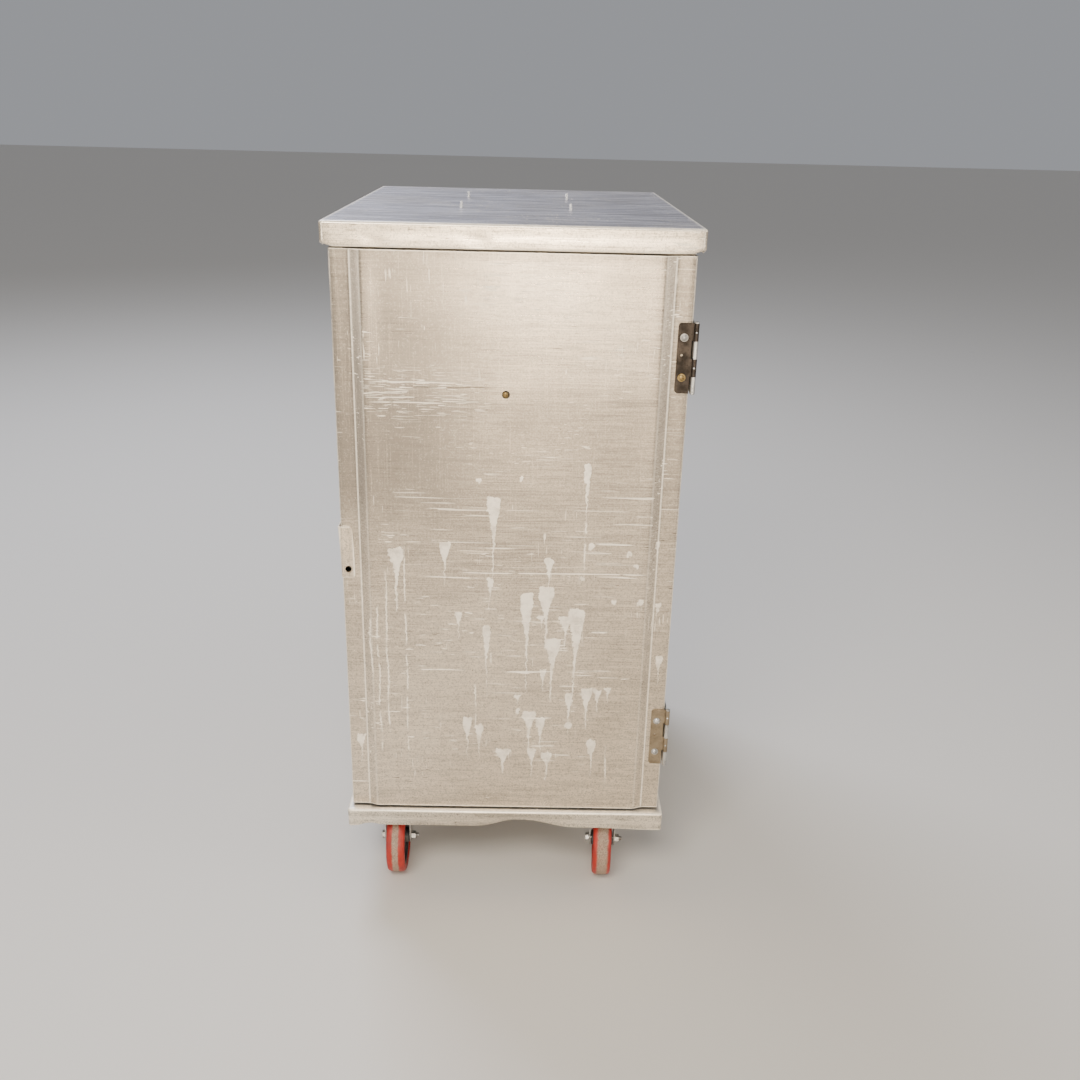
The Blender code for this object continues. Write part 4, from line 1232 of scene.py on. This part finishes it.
def make_header():
    """The folded header over the door opening, painted dark as painted shade."""
    low, high, _ = box_of("front_header")
    corners = [(low.y, low.z), (low.y, high.z), (high.y, high.z)]
    path = divided(rounded(corners, BEND), 0.02)
    bent_piece(
        "header_sheet", path, spread(low.x, high.x, 0.04), sideways, -SHEET, plain,
        "cabinet", SHADE_DARK_METAL, ["front_header"],
    )
    places = [(x, low.y + SHEET, low.z + 0.030) for x in spread(low.x + 0.02, high.x - 0.02, 0.11)]
    rivet_piece("header_rivets", places, (0, 1, 0), "cabinet")


def make_racks():
    """Square uprights and angle ledges on each side, riveted where they cross."""
    for name, side in (("left", -1), ("right", 1)):
        low, high, _ = box_of(f"{name}_pan_rack")
        wall, tip = (low.x, high.x) if side < 0 else (high.x, low.x)
        face = side * RACK_FACE
        shape = bmesh.new()
        for y in RACK_YS:
            near = Vector((min(face, wall), y - 0.008))
            far = Vector((max(face, wall), y + 0.008))
            tube = Vector((0.002, 0.002))
            outline = round_corners(near, far, (0.002,) * 4, 4)
            hollow = round_corners(near + tube, far - tube, (0.0008,) * 4, 4)
            rings = ((outline, low.z), (outline, high.z), (hollow, high.z), (hollow, low.z))
            made = add_rows(shape, [[Vector((p.x, p.y, z)) for p in ring] for ring, z in rings])
            join(shape, made[-1], made[0])
        piece(f"{name}_rack_uprights", shape, "cabinet", RACK_METAL, [f"{name}_pan_rack"])
        ledges = bmesh.new()
        rivets = bmesh.new()
        for level in range(LEVELS):
            top = low.z + FIRST_LEDGE + level * PITCH_OF_LEDGES
            corners = [(tip, top - 0.0012), (face, top - 0.0012), (face, top + 0.012)]
            path = rounded(corners, 0.0022, 4)
            droop = 0.0004 * math.sin(level * 2.3)
            add_sheet(
                ledges, path, spread(low.y, high.y, 0.08),
                lambda x, z, y, droop=droop: Vector((x, y, z + droop * y)), side * 0.0012,
            )
            places = [(face - side * 0.0011, y, top + 0.0068) for y in RACK_YS]
            add_rivets(rivets, places, (-side, 0, 0), (0.0026, 0.0010))
        piece(f"{name}_rack_ledges", ledges, "cabinet", RACK_METAL, [f"{name}_pan_rack"])
        piece(f"{name}_rack_rivets", rivets, "cabinet", ZINC)


def make_roof_screws():
    """Screws put in from inside. Their threaded ends stand out of the roof."""
    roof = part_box("top_cap")[1].z
    shape = bmesh.new()
    heads = bmesh.new()
    names = [f"roof_screw_{number}" for number in range(1, 5)]
    for name, degrees in zip(names, SCREW_LEANS):
        low, high, middle = box_of(name)
        lean = Matrix.Rotation(math.radians(degrees), 4, "Y")
        place = Matrix.Translation((middle.x, middle.y, roof - 0.003)) @ lean
        add_thread(shape, 0.0026, 0.0005, 0.0012, 0.0, high.z - roof + 0.0025, place)
        top = roof - SHEET
        add_screw_head(heads, 0.0058, top - low.z - 0.0004, facing((middle.x, middle.y, top), (0, 0, -1)))
    piece("roof_screw_ends", shape, "cabinet", BRIGHT_ZINC, names)
    piece("roof_screw_heads", heads, "cabinet", ZINC)


def make_magnet():
    """The magnet's housing, with two steel pole plates, and the strike on the door."""
    low, high, middle = box_of("door_magnet")
    front = low.y
    shape = bmesh.new()
    body_left = high.x - 0.011
    add_block(shape, (body_left, front, low.z), high, edge=0.0012)
    tab_back = front + 0.0048
    tab_low = (low.x, tab_back - 0.0030, middle.z - 0.015)
    add_block(shape, tab_low, (body_left + 0.001, tab_back, middle.z + 0.015), edge=0.0005)
    piece("magnet_body", shape, "cabinet", HOUSING, ["door_magnet"])
    shape = bmesh.new()
    for x in (body_left + 0.0022, high.x - 0.0034):
        add_block(shape, (x, front - 0.0003, low.z + 0.004), (x + 0.0012, front + 0.004, high.z - 0.004))
    piece("magnet_poles", shape, "cabinet", ZINC)
    low, high, middle = box_of("door_strike_plate")
    outline = round_corners((low.x, low.z), (high.x, high.z), (0.002,) * 4, 4)
    shape = bmesh.new()
    add_plate(shape, outline, -high.y, -low.y, STAND, 0.0002)
    places = [(middle.x, high.y - 0.0002, z) for z in (low.z + 0.007, high.z - 0.007)]
    add_rivets(shape, places, (0, 1, 0), (0.0022, 0.0004))
    piece("strike_plate", shape, "door", ZINC, ["door_strike_plate"])


# ---------------------------------------------------------------- door

# The pull's hole: how far it lies right of and above the pull's lower left corner, its radius, and
# the radius of the hole behind it in the door.
HOLE_PLACE = (0.0119, 0.0143)
HOLE_RADIUS = 0.0058
HOLE_BEHIND = 0.0052
# The height of the stiffener's middle. It keeps the door's panel flat there.
STIFFENER_HEIGHT = 0.8825


def make_door():
    """The door's skin: flat flanges, sloping bevels and a raised panel, bent by years of use."""
    low, high, _ = box_of("door_skin")
    flange = low.y + RAISE
    half = high.x
    right = [(half, high.y), (half, flange), (PANEL_HALF + BEVEL, flange), (PANEL_HALF, low.y)]
    corners = right + [(-x, y) for x, y in reversed(right)]
    path = divided(rounded(corners, (BEND, OUTER_BEND, INNER_BEND, INNER_BEND, OUTER_BEND, BEND)), 0.011)
    catch_low, catch_high, _ = box_of("door_catch")

    def warp(point):
        spot = point.copy()
        from_end = min(point.z - low.z, high.z - point.z)
        settle = smooth_step(from_end, 0.0, 0.05)
        inner = 1 - smooth_step(abs(point.x), 0.19, 0.215)
        braced = 1 - 0.85 * bell(point.z, STIFFENER_HEIGHT, 0.035)
        spot.y += 0.0014 * waves(point, 4.2, 2) * inner * braced * (0.35 + 0.65 * settle)
        spot.y += 0.0004 * waves(point, 17, 5)
        beside = bell(point.x, -0.2325, 0.0045)
        spot.y += 0.0016 * beside * smooth_step(point.z, catch_low.z - 0.006, catch_low.z + 0.010) * (
            1 - smooth_step(point.z, catch_high.z - 0.030, catch_high.z - 0.006)
        )
        spot.y += 0.0022 * bell(point.x, -0.236, 0.006) * bell(point.z, low.z + 0.16, 0.035)
        if abs(point.x) > half - 0.004:
            spot.x -= math.copysign(0.0009 * waves(point, 22, 7), point.x)
        spot.z += 0.0008 * (waves(point, 11, 9) - 0.5) * (1 - smooth_step(from_end, 0.0, 0.02))
        spot.y = min(spot.y, high.y)
        return spot

    skin = bent_piece(
        "door_sheet", path, spread(low.z, high.z, 0.009), upright, -SHEET, warp,
        "door", DOOR_METAL, ["door_skin"],
    )
    drill(skin, HOLE_BEHIND, 0.012, -0.006, 32, catch_hole(flange))


def catch_hole(y):
    """Where the hole near the catch's lower end is, facing out of the front."""
    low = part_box("door_catch")[0]
    return facing((low.x + HOLE_PLACE[0], y, low.z + HOLE_PLACE[1]), (0, -1, 0))


def make_liner():
    """The door's inner pan, with a pressed border."""
    low, high, _ = box_of("door_liner")
    corners = [(low.y, low.z), (high.y, low.z), (high.y, high.z), (low.y, high.z)]
    path = divided(rounded(corners, BEND), 0.010)

    def warp(point):
        spot = point.copy()
        if point.y > high.y - 0.004:
            inset = min(high.x - abs(point.x), point.z - low.z, high.z - point.z) - 0.050
            spot.y -= 0.0026 * smooth_step(inset, 0.0, 0.009)
            spot.y -= 0.0005 * waves(point, 6, 13)
        return spot

    bent_piece(
        "door_inner_pan", path, spread(low.x, high.x, 0.006), sideways, SHEET, warp,
        "door", PLAIN_METAL, ["door_liner"],
    )


def make_catch():
    """The bent pull on the door's free edge, leaning a little, with one round hole."""
    low, high, middle = box_of("door_catch")
    corners = [(high.x, low.y), (low.x, low.y), (low.x, high.y)]
    path = divided(rounded(corners, 0.0026, 6), 0.006)
    catch = bent_piece(
        "door_pull", path, spread(low.z, high.z, 0.010), upright, -SHEET, plain,
        "door", CATCH_METAL, ["door_catch"],
    )
    frame_shape = bmesh.new()
    outline = round_corners(
        (low.x - 0.01, low.z + 0.0002), (high.x - 0.0002, high.z - 0.0002), (0.0005, 0.0055, 0.0055, 0.0005)
    )
    add_plate(frame_shape, outline, -high.y - 0.01, -low.y + 0.01, STAND, 0.0001)
    cut(catch, frame_shape, "INTERSECT")
    drill(catch, HOLE_RADIUS, 0.012, -0.004, 32, catch_hole(low.y))
    lean = Matrix.Rotation(math.radians(-2.1), 4, "Y")
    catch.data.transform(Matrix.Translation(middle) @ lean @ Matrix.Translation(-middle))
    for vert in catch.data.vertices:
        bow = 1 - ((vert.co.z - middle.z) / (high.z - middle.z)) ** 2
        vert.co.y = min(vert.co.y + 0.0004 * (1 - bow), high.y)
        vert.co.x += 0.0006 * bow
    soften(catch, 0.0003)


def make_centre_screw():
    """The brass screw in the door's panel, in a dished washer."""
    low, _, middle = box_of("door_centre_screw")
    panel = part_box("door_skin")[0].y
    shape = bmesh.new()
    top = panel - low.y
    add_screw_head(shape, 0.0046, top, facing((middle.x, panel + 0.0004, middle.z), (0.2, -1, 0.1)), "slot")
    piece("centre_screw", shape, "door", BRASS, ["door_centre_screw"])
    ring = [(0.0030, 0.0006), (0.0056, 0.0004), (0.0060, 0.0), (0.0030, 0.0)]
    place = facing((middle.x, panel + 0.0002, middle.z), (0, -1, 0))
    turned_piece("centre_washer", ring, 32, place, "door", TARNISH)


# ---------------------------------------------------------------- hinges

# Where the body leaf's joggle starts and ends behind the pin, and its screws above the leaf's foot.
JOGGLE = (0.0076, 0.0156)
BODY_SCREW_HEIGHTS = (0.016, 0.051, 0.086)
# The door leaf's small open hole, left of the pin and above the leaf's foot.
LEAF_HOLE = (0.0190, 0.0563)


def add_curl(shape, centre, radius, start, end, low, high):
    """A hinge knuckle: the leaf's sheet rolled round the pin."""
    outer = arc(centre, radius, start, end, 22)
    inward = -SHEET if end < start else SHEET
    add_sheet(shape, outer, [low, low + 0.0004, high - 0.0004, high], upright, inward)


def make_hinge(name, leaf_look, screw_looks):
    """A butt hinge: door leaf, joggled body leaf, pin and screws."""
    low, high, _ = box_of(f"{name}_hinge_door_leaf")
    pin_low, pin_high, pin = box_of(f"{name}_hinge_pin")
    body_low, body_high, _ = box_of(f"{name}_hinge_body_leaf")
    centre = (pin.x, pin.y)
    radius = high.x - pin.x
    part = (body_high.z - body_low.z) / 4
    bottom, top = body_low.z, body_high.z
    leaf_right = pin.x - 0.0055
    corner = 0.005
    gap = 0.00025

    shape = bmesh.new()
    outline = arc((low.x + corner, bottom + corner), corner, 180, 270, 6)
    outline += [Vector((leaf_right, bottom))]
    for number in (1, 3):
        start = bottom + number * part + gap
        end = bottom + part * (number + 1) - (gap if number == 1 else 0.0)
        outline += [Vector((leaf_right, start)), Vector((pin.x, start)), Vector((pin.x, end))]
        if number == 1:
            outline += [Vector((leaf_right, end))]
        add_curl(shape, centre, radius, 90, -205, start, end)
    outline += arc((low.x + corner, top - corner), corner, 90, 180, 6)
    back = centre[1] + radius
    add_plate(shape, outline, -back, -back + SHEET, STAND, 0.0002)
    leaf = piece(f"{name}_leaf", shape, "door", leaf_look, [f"{name}_hinge_door_leaf"])
    spot = facing((pin.x - LEAF_HOLE[0], back - SHEET, bottom + LEAF_HOLE[1]), (0, -1, 0))
    drill(leaf, 0.0020, 0.002, -0.004, 20, spot)

    near = pin.x - radius
    on_body = box_of("right_side_panel")[1].x + 0.0003 + SHEET / 2
    corners = [
        (near + SHEET / 2, pin.y),
        (near + SHEET / 2, pin.y + JOGGLE[0]),
        (on_body, pin.y + JOGGLE[1]),
        (on_body, body_high.y),
    ]
    path = [p + Vector((-SHEET / 2, 0)) for p in divided(rounded(corners, 0.004, 4), 0.01)]
    body_leaf = bent_piece(
        f"{name}_body_leaf_plate", path, spread(bottom, top, part), upright, -SHEET, plain,
        "cabinet", ZINC, [f"{name}_hinge_body_leaf"],
    )
    for number in (1, 3):
        notch = bmesh.new()
        start, end = bottom + number * part - gap, bottom + (number + 1) * part + gap
        notch_high = (pin.x + 0.010, pin.y + radius + 0.0008, end)
        add_block(notch, (pin.x - 0.010, pin.y - 0.010, start), notch_high)
        cut(body_leaf, notch)
    soften(body_leaf, 0.0002)
    shape = bmesh.new()
    for number in (0, 2):
        start, end = bottom + number * part + gap, bottom + (number + 1) * part - gap
        add_curl(shape, centre, radius, 180, 480, start, end)
    piece(f"{name}_body_knuckles", shape, "cabinet", ZINC)

    pin_radius = pin_high.x - pin.x
    head = [
        (0.0, top + 0.0030), (pin_radius * 0.9, top + 0.0028), (radius * 0.93, top + 0.0018),
        (radius * 0.98, top + 0.0008), (radius * 0.93, top + 0.0001),
    ]
    shank = [(pin_radius, top + 0.0001), (pin_radius, bottom - 0.0001)]
    upset = [
        (pin_radius * 1.35, bottom - 0.0001), (pin_radius * 1.35, pin_low.z + 0.0004),
        (pin_radius * 0.9, pin_low.z), (0.0, pin_low.z),
    ]
    place = Matrix.Translation((pin.x, pin.y, 0))
    turned_piece(f"{name}_pin", head + shank + upset, 24, place, "cabinet", ZINC, [f"{name}_hinge_pin"])

    marks = [(pin.x - 0.0004, pin.y - radius, bottom + share * part) for share in (1.5, 3.5)]
    rivet_piece(f"{name}_stake_marks", marks, (0, -1, 0), "door", (0.0015, 0.0006))

    for number, (look, recess, tilt) in enumerate(screw_looks, start=1):
        node = f"{name}_hinge_screw_{number}"
        screw_low, _, screw = box_of(node)
        shape = bmesh.new()
        seat = back - SHEET
        washer = [(0.0030, 0.0007), (0.0056, 0.0006), (0.0060, 0.0), (0.0030, 0.0)]
        add_turned(shape, washer, 36, facing((screw.x, seat, screw.z), (0, -1, 0)))
        place = facing((screw.x, seat - 0.0003, screw.z), (tilt, -1, tilt))
        add_screw_head(shape, 0.0047, seat - screw_low.y, place, recess)
        piece(f"{name}_screw_{number}", shape, "door", look, [node])

    shape = bmesh.new()
    for up in BODY_SCREW_HEIGHTS:
        place = facing((on_body + SHEET / 2, pin.y + 0.040, bottom + up), (1, 0, 0))
        add_screw_head(shape, 0.0042, 0.0022, place)
    piece(f"{name}_body_screws", shape, "cabinet", ZINC)


# ---------------------------------------------------------------- casters

# Turns an outline in (Y, Z) upright, with its thickness along X.
ON_SIDE = Matrix(((0, 0, 1, 0), (1, 0, 0, 0), (0, 1, 0, 0), (0, 0, 0, 1)))
# Heights are above the floor. LEAD is how far the axle stands off the kingpin's axis.
FORK_HALF = 0.023
FORK_WALL = 0.0028
FORK_ROOF = 0.1345
FORK_TOP = 0.1385
CROWN_TOP = 0.1460
PLATE_TOP = 0.1553
PLATE_THICK = 0.0026
PLATE_HALF = (0.033, 0.048)
BOLTS = (0.0255, 0.0390)
LEAD = 0.035
WHEEL_RADIUS = 0.0635
AXLE_HEIGHT = WHEEL_RADIUS
RACE_BORE = 0.0062
AXLE_RADIUS = 0.0040
AXLE_FLATS = 0.0127
WHEEL_HALF = 0.015875
TREAD_INNER = 0.050
# The worn stripe on each tread: where its middle lies across the wheel and half its width, in metres.
STRIPES = {
    "front_left": (-0.0002, 0.0050),
    "front_right": (0.0010, 0.0086),
    "rear_left": (0.0015, 0.0070),
    "rear_right": (-0.0010, 0.0078),
}


def fork_outline():
    """A fork leg from the side, in (Y, Z): wide under the crown, with a round foot at the axle."""
    back = [
        (0.024, FORK_TOP + 0.002), (-0.038, FORK_TOP + 0.002), (-0.0405, FORK_TOP - 0.0010),
        (-0.044, FORK_ROOF), (-0.050, FORK_ROOF - 0.018),
    ]
    outline = [Vector(point) for point in back]
    outline += arc((-LEAD, AXLE_HEIGHT), 0.013, 170, 372, 22)
    outline += rounded([(0.016, 0.112), (0.024, 0.1240), (0.024, 0.130)], 0.006, 4)
    return outline


def make_fork(name, swivel):
    """A pressed channel with shaped legs, under a round crown that holds the race."""
    corners = [(-FORK_HALF, 0.04), (-FORK_HALF, FORK_TOP), (FORK_HALF, FORK_TOP), (FORK_HALF, 0.04)]
    path = rounded(corners, 0.0050, 6)
    fork = bent_piece(
        f"{name}_fork_legs", path, [-0.06, 0.04], lambda x, z, y: swivel @ Vector((x, y, z)), -FORK_WALL,
        plain, f"{name}_fork", ZINC, [f"{name}_caster_fork"],
    )
    tool = bmesh.new()
    add_plate(tool, fork_outline(), -0.04, 0.04, swivel @ ON_SIDE, 0.0001)
    cut(fork, tool, "INTERSECT")
    soften(fork, 0.0005)
    crown = [
        (RACE_BORE, FORK_TOP - 0.003), (0.0225, FORK_TOP - 0.003), (0.0235, FORK_TOP + 0.0004),
        (0.0255, FORK_TOP + 0.0012), (0.0260, FORK_TOP + 0.0024), (0.0260, CROWN_TOP - 0.0012),
        (0.0252, CROWN_TOP - 0.0003), (0.0240, CROWN_TOP), (0.0120, CROWN_TOP),
        (RACE_BORE, CROWN_TOP - 0.0010),
    ]
    replaced = [f"{name}_caster_fork"]
    turned_piece(f"{name}_fork_crown", crown, 64, swivel, f"{name}_fork", ZINC, replaced)


def make_caster_plate(name, mount):
    """The top plate with its pressed race, four bolts, and the kingpin's head."""
    shape = bmesh.new()
    half_x, half_y = PLATE_HALF
    outline = round_corners((-half_x, -half_y), (half_x, half_y), (0.007,) * 4, 6)
    add_plate(shape, outline, PLATE_TOP - PLATE_THICK, PLATE_TOP, mount, 0.0004)
    race = [
        (RACE_BORE, PLATE_TOP - 0.0004), (RACE_BORE, 0.1472), (0.0225, 0.1472), (0.0240, 0.1477),
        (0.0248, 0.1490), (0.0250, 0.1510), (0.0262, 0.1527), (0.0285, 0.1533),
        (0.0285, PLATE_TOP - 0.0006),
    ]
    add_turned(shape, race, 64, mount)
    piece(f"{name}_plate", shape, "cabinet", ZINC, [f"{name}_caster_plate"])
    shape = bmesh.new()
    bolt_x, bolt_y = BOLTS
    for x, y in ((-bolt_x, -bolt_y), (-bolt_x, bolt_y), (bolt_x, -bolt_y), (bolt_x, bolt_y)):
        place = mount @ facing((x, y, PLATE_TOP - PLATE_THICK), (0, 0, -1))
        add_turned(shape, disc(0.0066, 0.0, 0.0008), 28, place)
        add_hexagon(shape, 0.0100, 0.0008, 0.0050, place)
    piece(f"{name}_bolts", shape, "cabinet", ZINC)
    pin = [
        (0.0, PLATE_TOP), (0.0058, PLATE_TOP), (0.0058, 0.1340), (0.0100, 0.1338),
        (0.0105, 0.1330), (0.0098, 0.1316), (0.0080, 0.1311), (0.0, 0.1310),
    ]
    turned_piece(f"{name}_kingpin", pin, 40, mount, "cabinet", ZINC, [f"{name}_caster_kingpin"])


def axle_place(swivel):
    """The middle of a wheel, with local Z along its axle."""
    return swivel @ Matrix.Translation((0, -LEAD, AXLE_HEIGHT)) @ Matrix.Rotation(math.pi / 2, 4, "Y")


def make_axle(name, swivel):
    """The axle bolt with a hexagonal head on the left, and a nut and a threaded end on the right."""
    along = axle_place(swivel)
    head = FORK_HALF + 0.0003
    shape = bmesh.new()
    add_turned(shape, disc(AXLE_RADIUS, -head - 0.0012, head + 0.0065), 28, along)
    back = along @ Matrix.Rotation(math.pi, 4, "X")
    add_turned(shape, disc(0.0078, head, head + 0.0010), 32, back)
    add_hexagon(shape, AXLE_FLATS, head + 0.0010, head + 0.0060, back)
    add_thread(shape, AXLE_RADIUS, 0.0006, 0.00125, head + 0.0060, head + 0.0128, along)
    piece(f"{name}_axle_screw", shape, f"{name}_fork", ZINC, [f"{name}_axle_bolt"])
    shape = bmesh.new()
    turned = along @ Matrix.Rotation(math.radians(13), 4, "Z")
    add_hexagon(shape, AXLE_FLATS, head, head + 0.0072, turned, 0.0043)
    piece(f"{name}_axle_lock_nut", shape, f"{name}_fork", ZINC, [f"{name}_axle_nut"])


def make_wheel(name, swivel):
    """A red tread cast on a dark moulded hub with ribs and a metal bush."""
    along = axle_place(swivel)
    half = WHEEL_HALF
    side = [
        (TREAD_INNER + 0.0003, half - 0.0025), (0.0525, half - 0.0008), (0.0545, half),
        (0.0580, half), (0.0600, half - 0.0006), (0.0616, half - 0.0020), (0.0626, half - 0.0040),
        (0.0632, half - 0.0065), (WHEEL_RADIUS, half - 0.0095), (WHEEL_RADIUS, half - 0.0125),
    ]
    shape = bmesh.new()
    add_turned(shape, mirrored(side), 120, along)
    replaced = [f"{name}_wheel_tread"]
    tread = piece(f"{name}_tread", shape, f"{name}_wheel", POLYURETHANE, replaced, 60)
    middle, width = STRIPES[name]
    back = along.inverted()
    worn = tread.data.attributes.new("worn", "FLOAT", "POINT")
    for vert, value in zip(tread.data.vertices, worn.data):
        across = back @ vert.co
        sunk = 1.0 if across.xy.length < 0.0595 else 0.0
        value.value = abs(across.z - middle) / width + 3 * sunk
    shape = bmesh.new()
    hub = [
        (0.0075, 0.0186), (0.0110, 0.0190), (0.0128, 0.0182), (0.0138, 0.0080), (0.0160, 0.0060),
        (0.0440, 0.0048), (0.0458, 0.0060), (0.0465, 0.0128), (0.0480, 0.0138), (TREAD_INNER, 0.0136),
    ]
    add_turned(shape, mirrored(hub), 96, along)
    for number in range(6):
        turn = along @ Matrix.Rotation(math.radians(60 * number + 9), 4, "Z")
        for face in (1, -1):
            low, high = sorted((face * 0.0045, face * 0.0112))
            add_block(shape, (0.0125, -0.0016, low), (0.0468, 0.0016, high), turn, 0.0005)
    piece(f"{name}_hub", shape, f"{name}_wheel", HUB_PLASTIC, [f"{name}_wheel_hub"])
    bush = mirrored([(0.0045, -0.0190), (0.0074, -0.0190), (0.0078, -0.0186)])
    turned_piece(f"{name}_bush", bush, 40, along, f"{name}_wheel", ZINC)


def make_casters():
    """Four swivel casters, each turned its own way."""
    joints = {joint["name"]: joint for joint in RECORD["behaviour"]["joints"]}
    for name in CASTERS:
        pin = box_of(f"{name}_caster_kingpin")[2]
        mount = Matrix.Translation((pin.x, pin.y, 0))
        axis = joints[f"{name}_roll"]["axis"]
        swivel = mount @ Matrix.Rotation(math.atan2(axis[1], axis[0]), 4, "Z")
        make_caster_plate(name, mount)
        make_fork(name, swivel)
        make_axle(name, swivel)
        make_wheel(name, swivel)


def make_rails():
    """The two rails under the deck that carry the casters."""
    for name in ("front", "rear"):
        low, high, _ = box_of(f"{name}_caster_rail")
        shape = bmesh.new()
        outline = round_corners((low.x, low.y), (high.x, high.y), (0.004,) * 4, 4)
        add_plate(shape, outline, low.z, high.z, Matrix.Identity(4), 0.0005)
        piece(f"{name}_rail", shape, "cabinet", ZINC, [f"{name}_caster_rail"])


# ---------------------------------------------------------------- the whole cabinet

make_cap()
make_base()
make_sides()
make_back()
make_header()
make_racks()
make_roof_screws()
make_magnet()
make_door()
make_liner()
make_catch()
make_centre_screw()
make_hinge("upper", TARNISH, ((BRASS, "slot", 0.10), (ZINC, "cross", 0.0)))
make_hinge("lower", NICKEL, ((ZINC, "cross", 0.05), (ZINC, "cross", 0.0)))
make_rails()
make_casters()
frame["nodes"]["door_stiffener"].data.materials.clear()
frame["nodes"]["door_stiffener"].data.materials.append(RACK_METAL)

# ---------------------------------------------------------------- floor, light and camera


def make_floor():
    """A large plain floor."""
    shape = bmesh.new()
    bmesh.ops.create_grid(shape, x_segments=1, y_segments=1, size=30.0)
    mesh = bpy.data.meshes.new("floor")
    shape.to_mesh(mesh)
    shape.free()
    look = Look("floor", 0.75, 0.0)
    look.feed(look.shader.inputs["Base Color"], (0.70, 0.665, 0.61))
    mesh.materials.append(look.material)
    floor = bpy.data.objects.new("floor", mesh)
    bpy.context.scene.collection.objects.link(floor)


def add_light(name, place, target, size, power, colour):
    """A soft rectangular light aimed at a point."""
    light = bpy.data.lights.new(name, "AREA")
    light.shape = "RECTANGLE"
    light.size, light.size_y = size
    light.energy = power
    light.color = colour
    obj = bpy.data.objects.new(name, light)
    away = Vector(place) - Vector(target)
    obj.matrix_world = Matrix.Translation(place) @ away.to_track_quat("Z", "Y").to_matrix().to_4x4()
    bpy.context.scene.collection.objects.link(obj)


def make_studio():
    """Pale surroundings, a key light over the door, low ones for its bends, and a cool one on the roof."""
    world = bpy.data.worlds.new("studio")
    world.use_nodes = True
    background = world.node_tree.nodes["Background"]
    background.inputs["Color"].default_value = (0.74, 0.76, 0.81, 1.0)
    background.inputs["Strength"].default_value = 0.44
    bpy.context.scene.world = world
    add_light("key", (-0.6, -2.9, 3.1), (0.0, -0.3, 0.6), (2.0, 1.2), 120, (1.0, 0.92, 0.81))
    add_light("low", (0.05, -4.9, 0.85), (0.0, -0.3, 0.95), (0.75, 0.75), 95, (1.0, 0.87, 0.69))
    for name, side, power in (("left", -1, 55), ("right", 1, 45)):
        place = (side * 3.6, -4.0, 0.9)
        add_light(name, place, (0.0, -0.3, 0.8), (1.8, 1.6), power, (1.0, 0.93, 0.84))
    add_light("fill", (3.0, -1.2, 1.8), (0.0, -0.2, 0.6), (1.4, 1.4), 18, (1.0, 0.96, 0.90))
    add_light("back", (-1.6, 2.6, 4.2), (0.0, 0.0, 0.7), (2.0, 1.4), 190, (0.78, 0.84, 1.0))


def make_camera():
    """A camera at the eye, turned and rolled as the cabinet was seen."""
    level = math.cos(PITCH)
    forward = Vector((math.sin(YAW) * level, math.cos(YAW) * level, -math.sin(PITCH)))
    right = Vector((math.cos(YAW), -math.sin(YAW), 0))
    up = right.cross(forward)
    across = right * math.cos(ROLL) + up * math.sin(ROLL)
    above = up * math.cos(ROLL) - right * math.sin(ROLL)
    turn = Matrix((across, above, -forward)).transposed().to_4x4()
    camera = bpy.data.cameras.new("camera")
    camera.lens = LENS
    camera.sensor_width = SENSOR
    obj = bpy.data.objects.new("camera", camera)
    obj.matrix_world = Matrix.Translation(EYE) @ turn
    bpy.context.scene.collection.objects.link(obj)
    bpy.context.scene.camera = obj


make_floor()
make_studio()
make_camera()

bpy.context.view_layer.update()
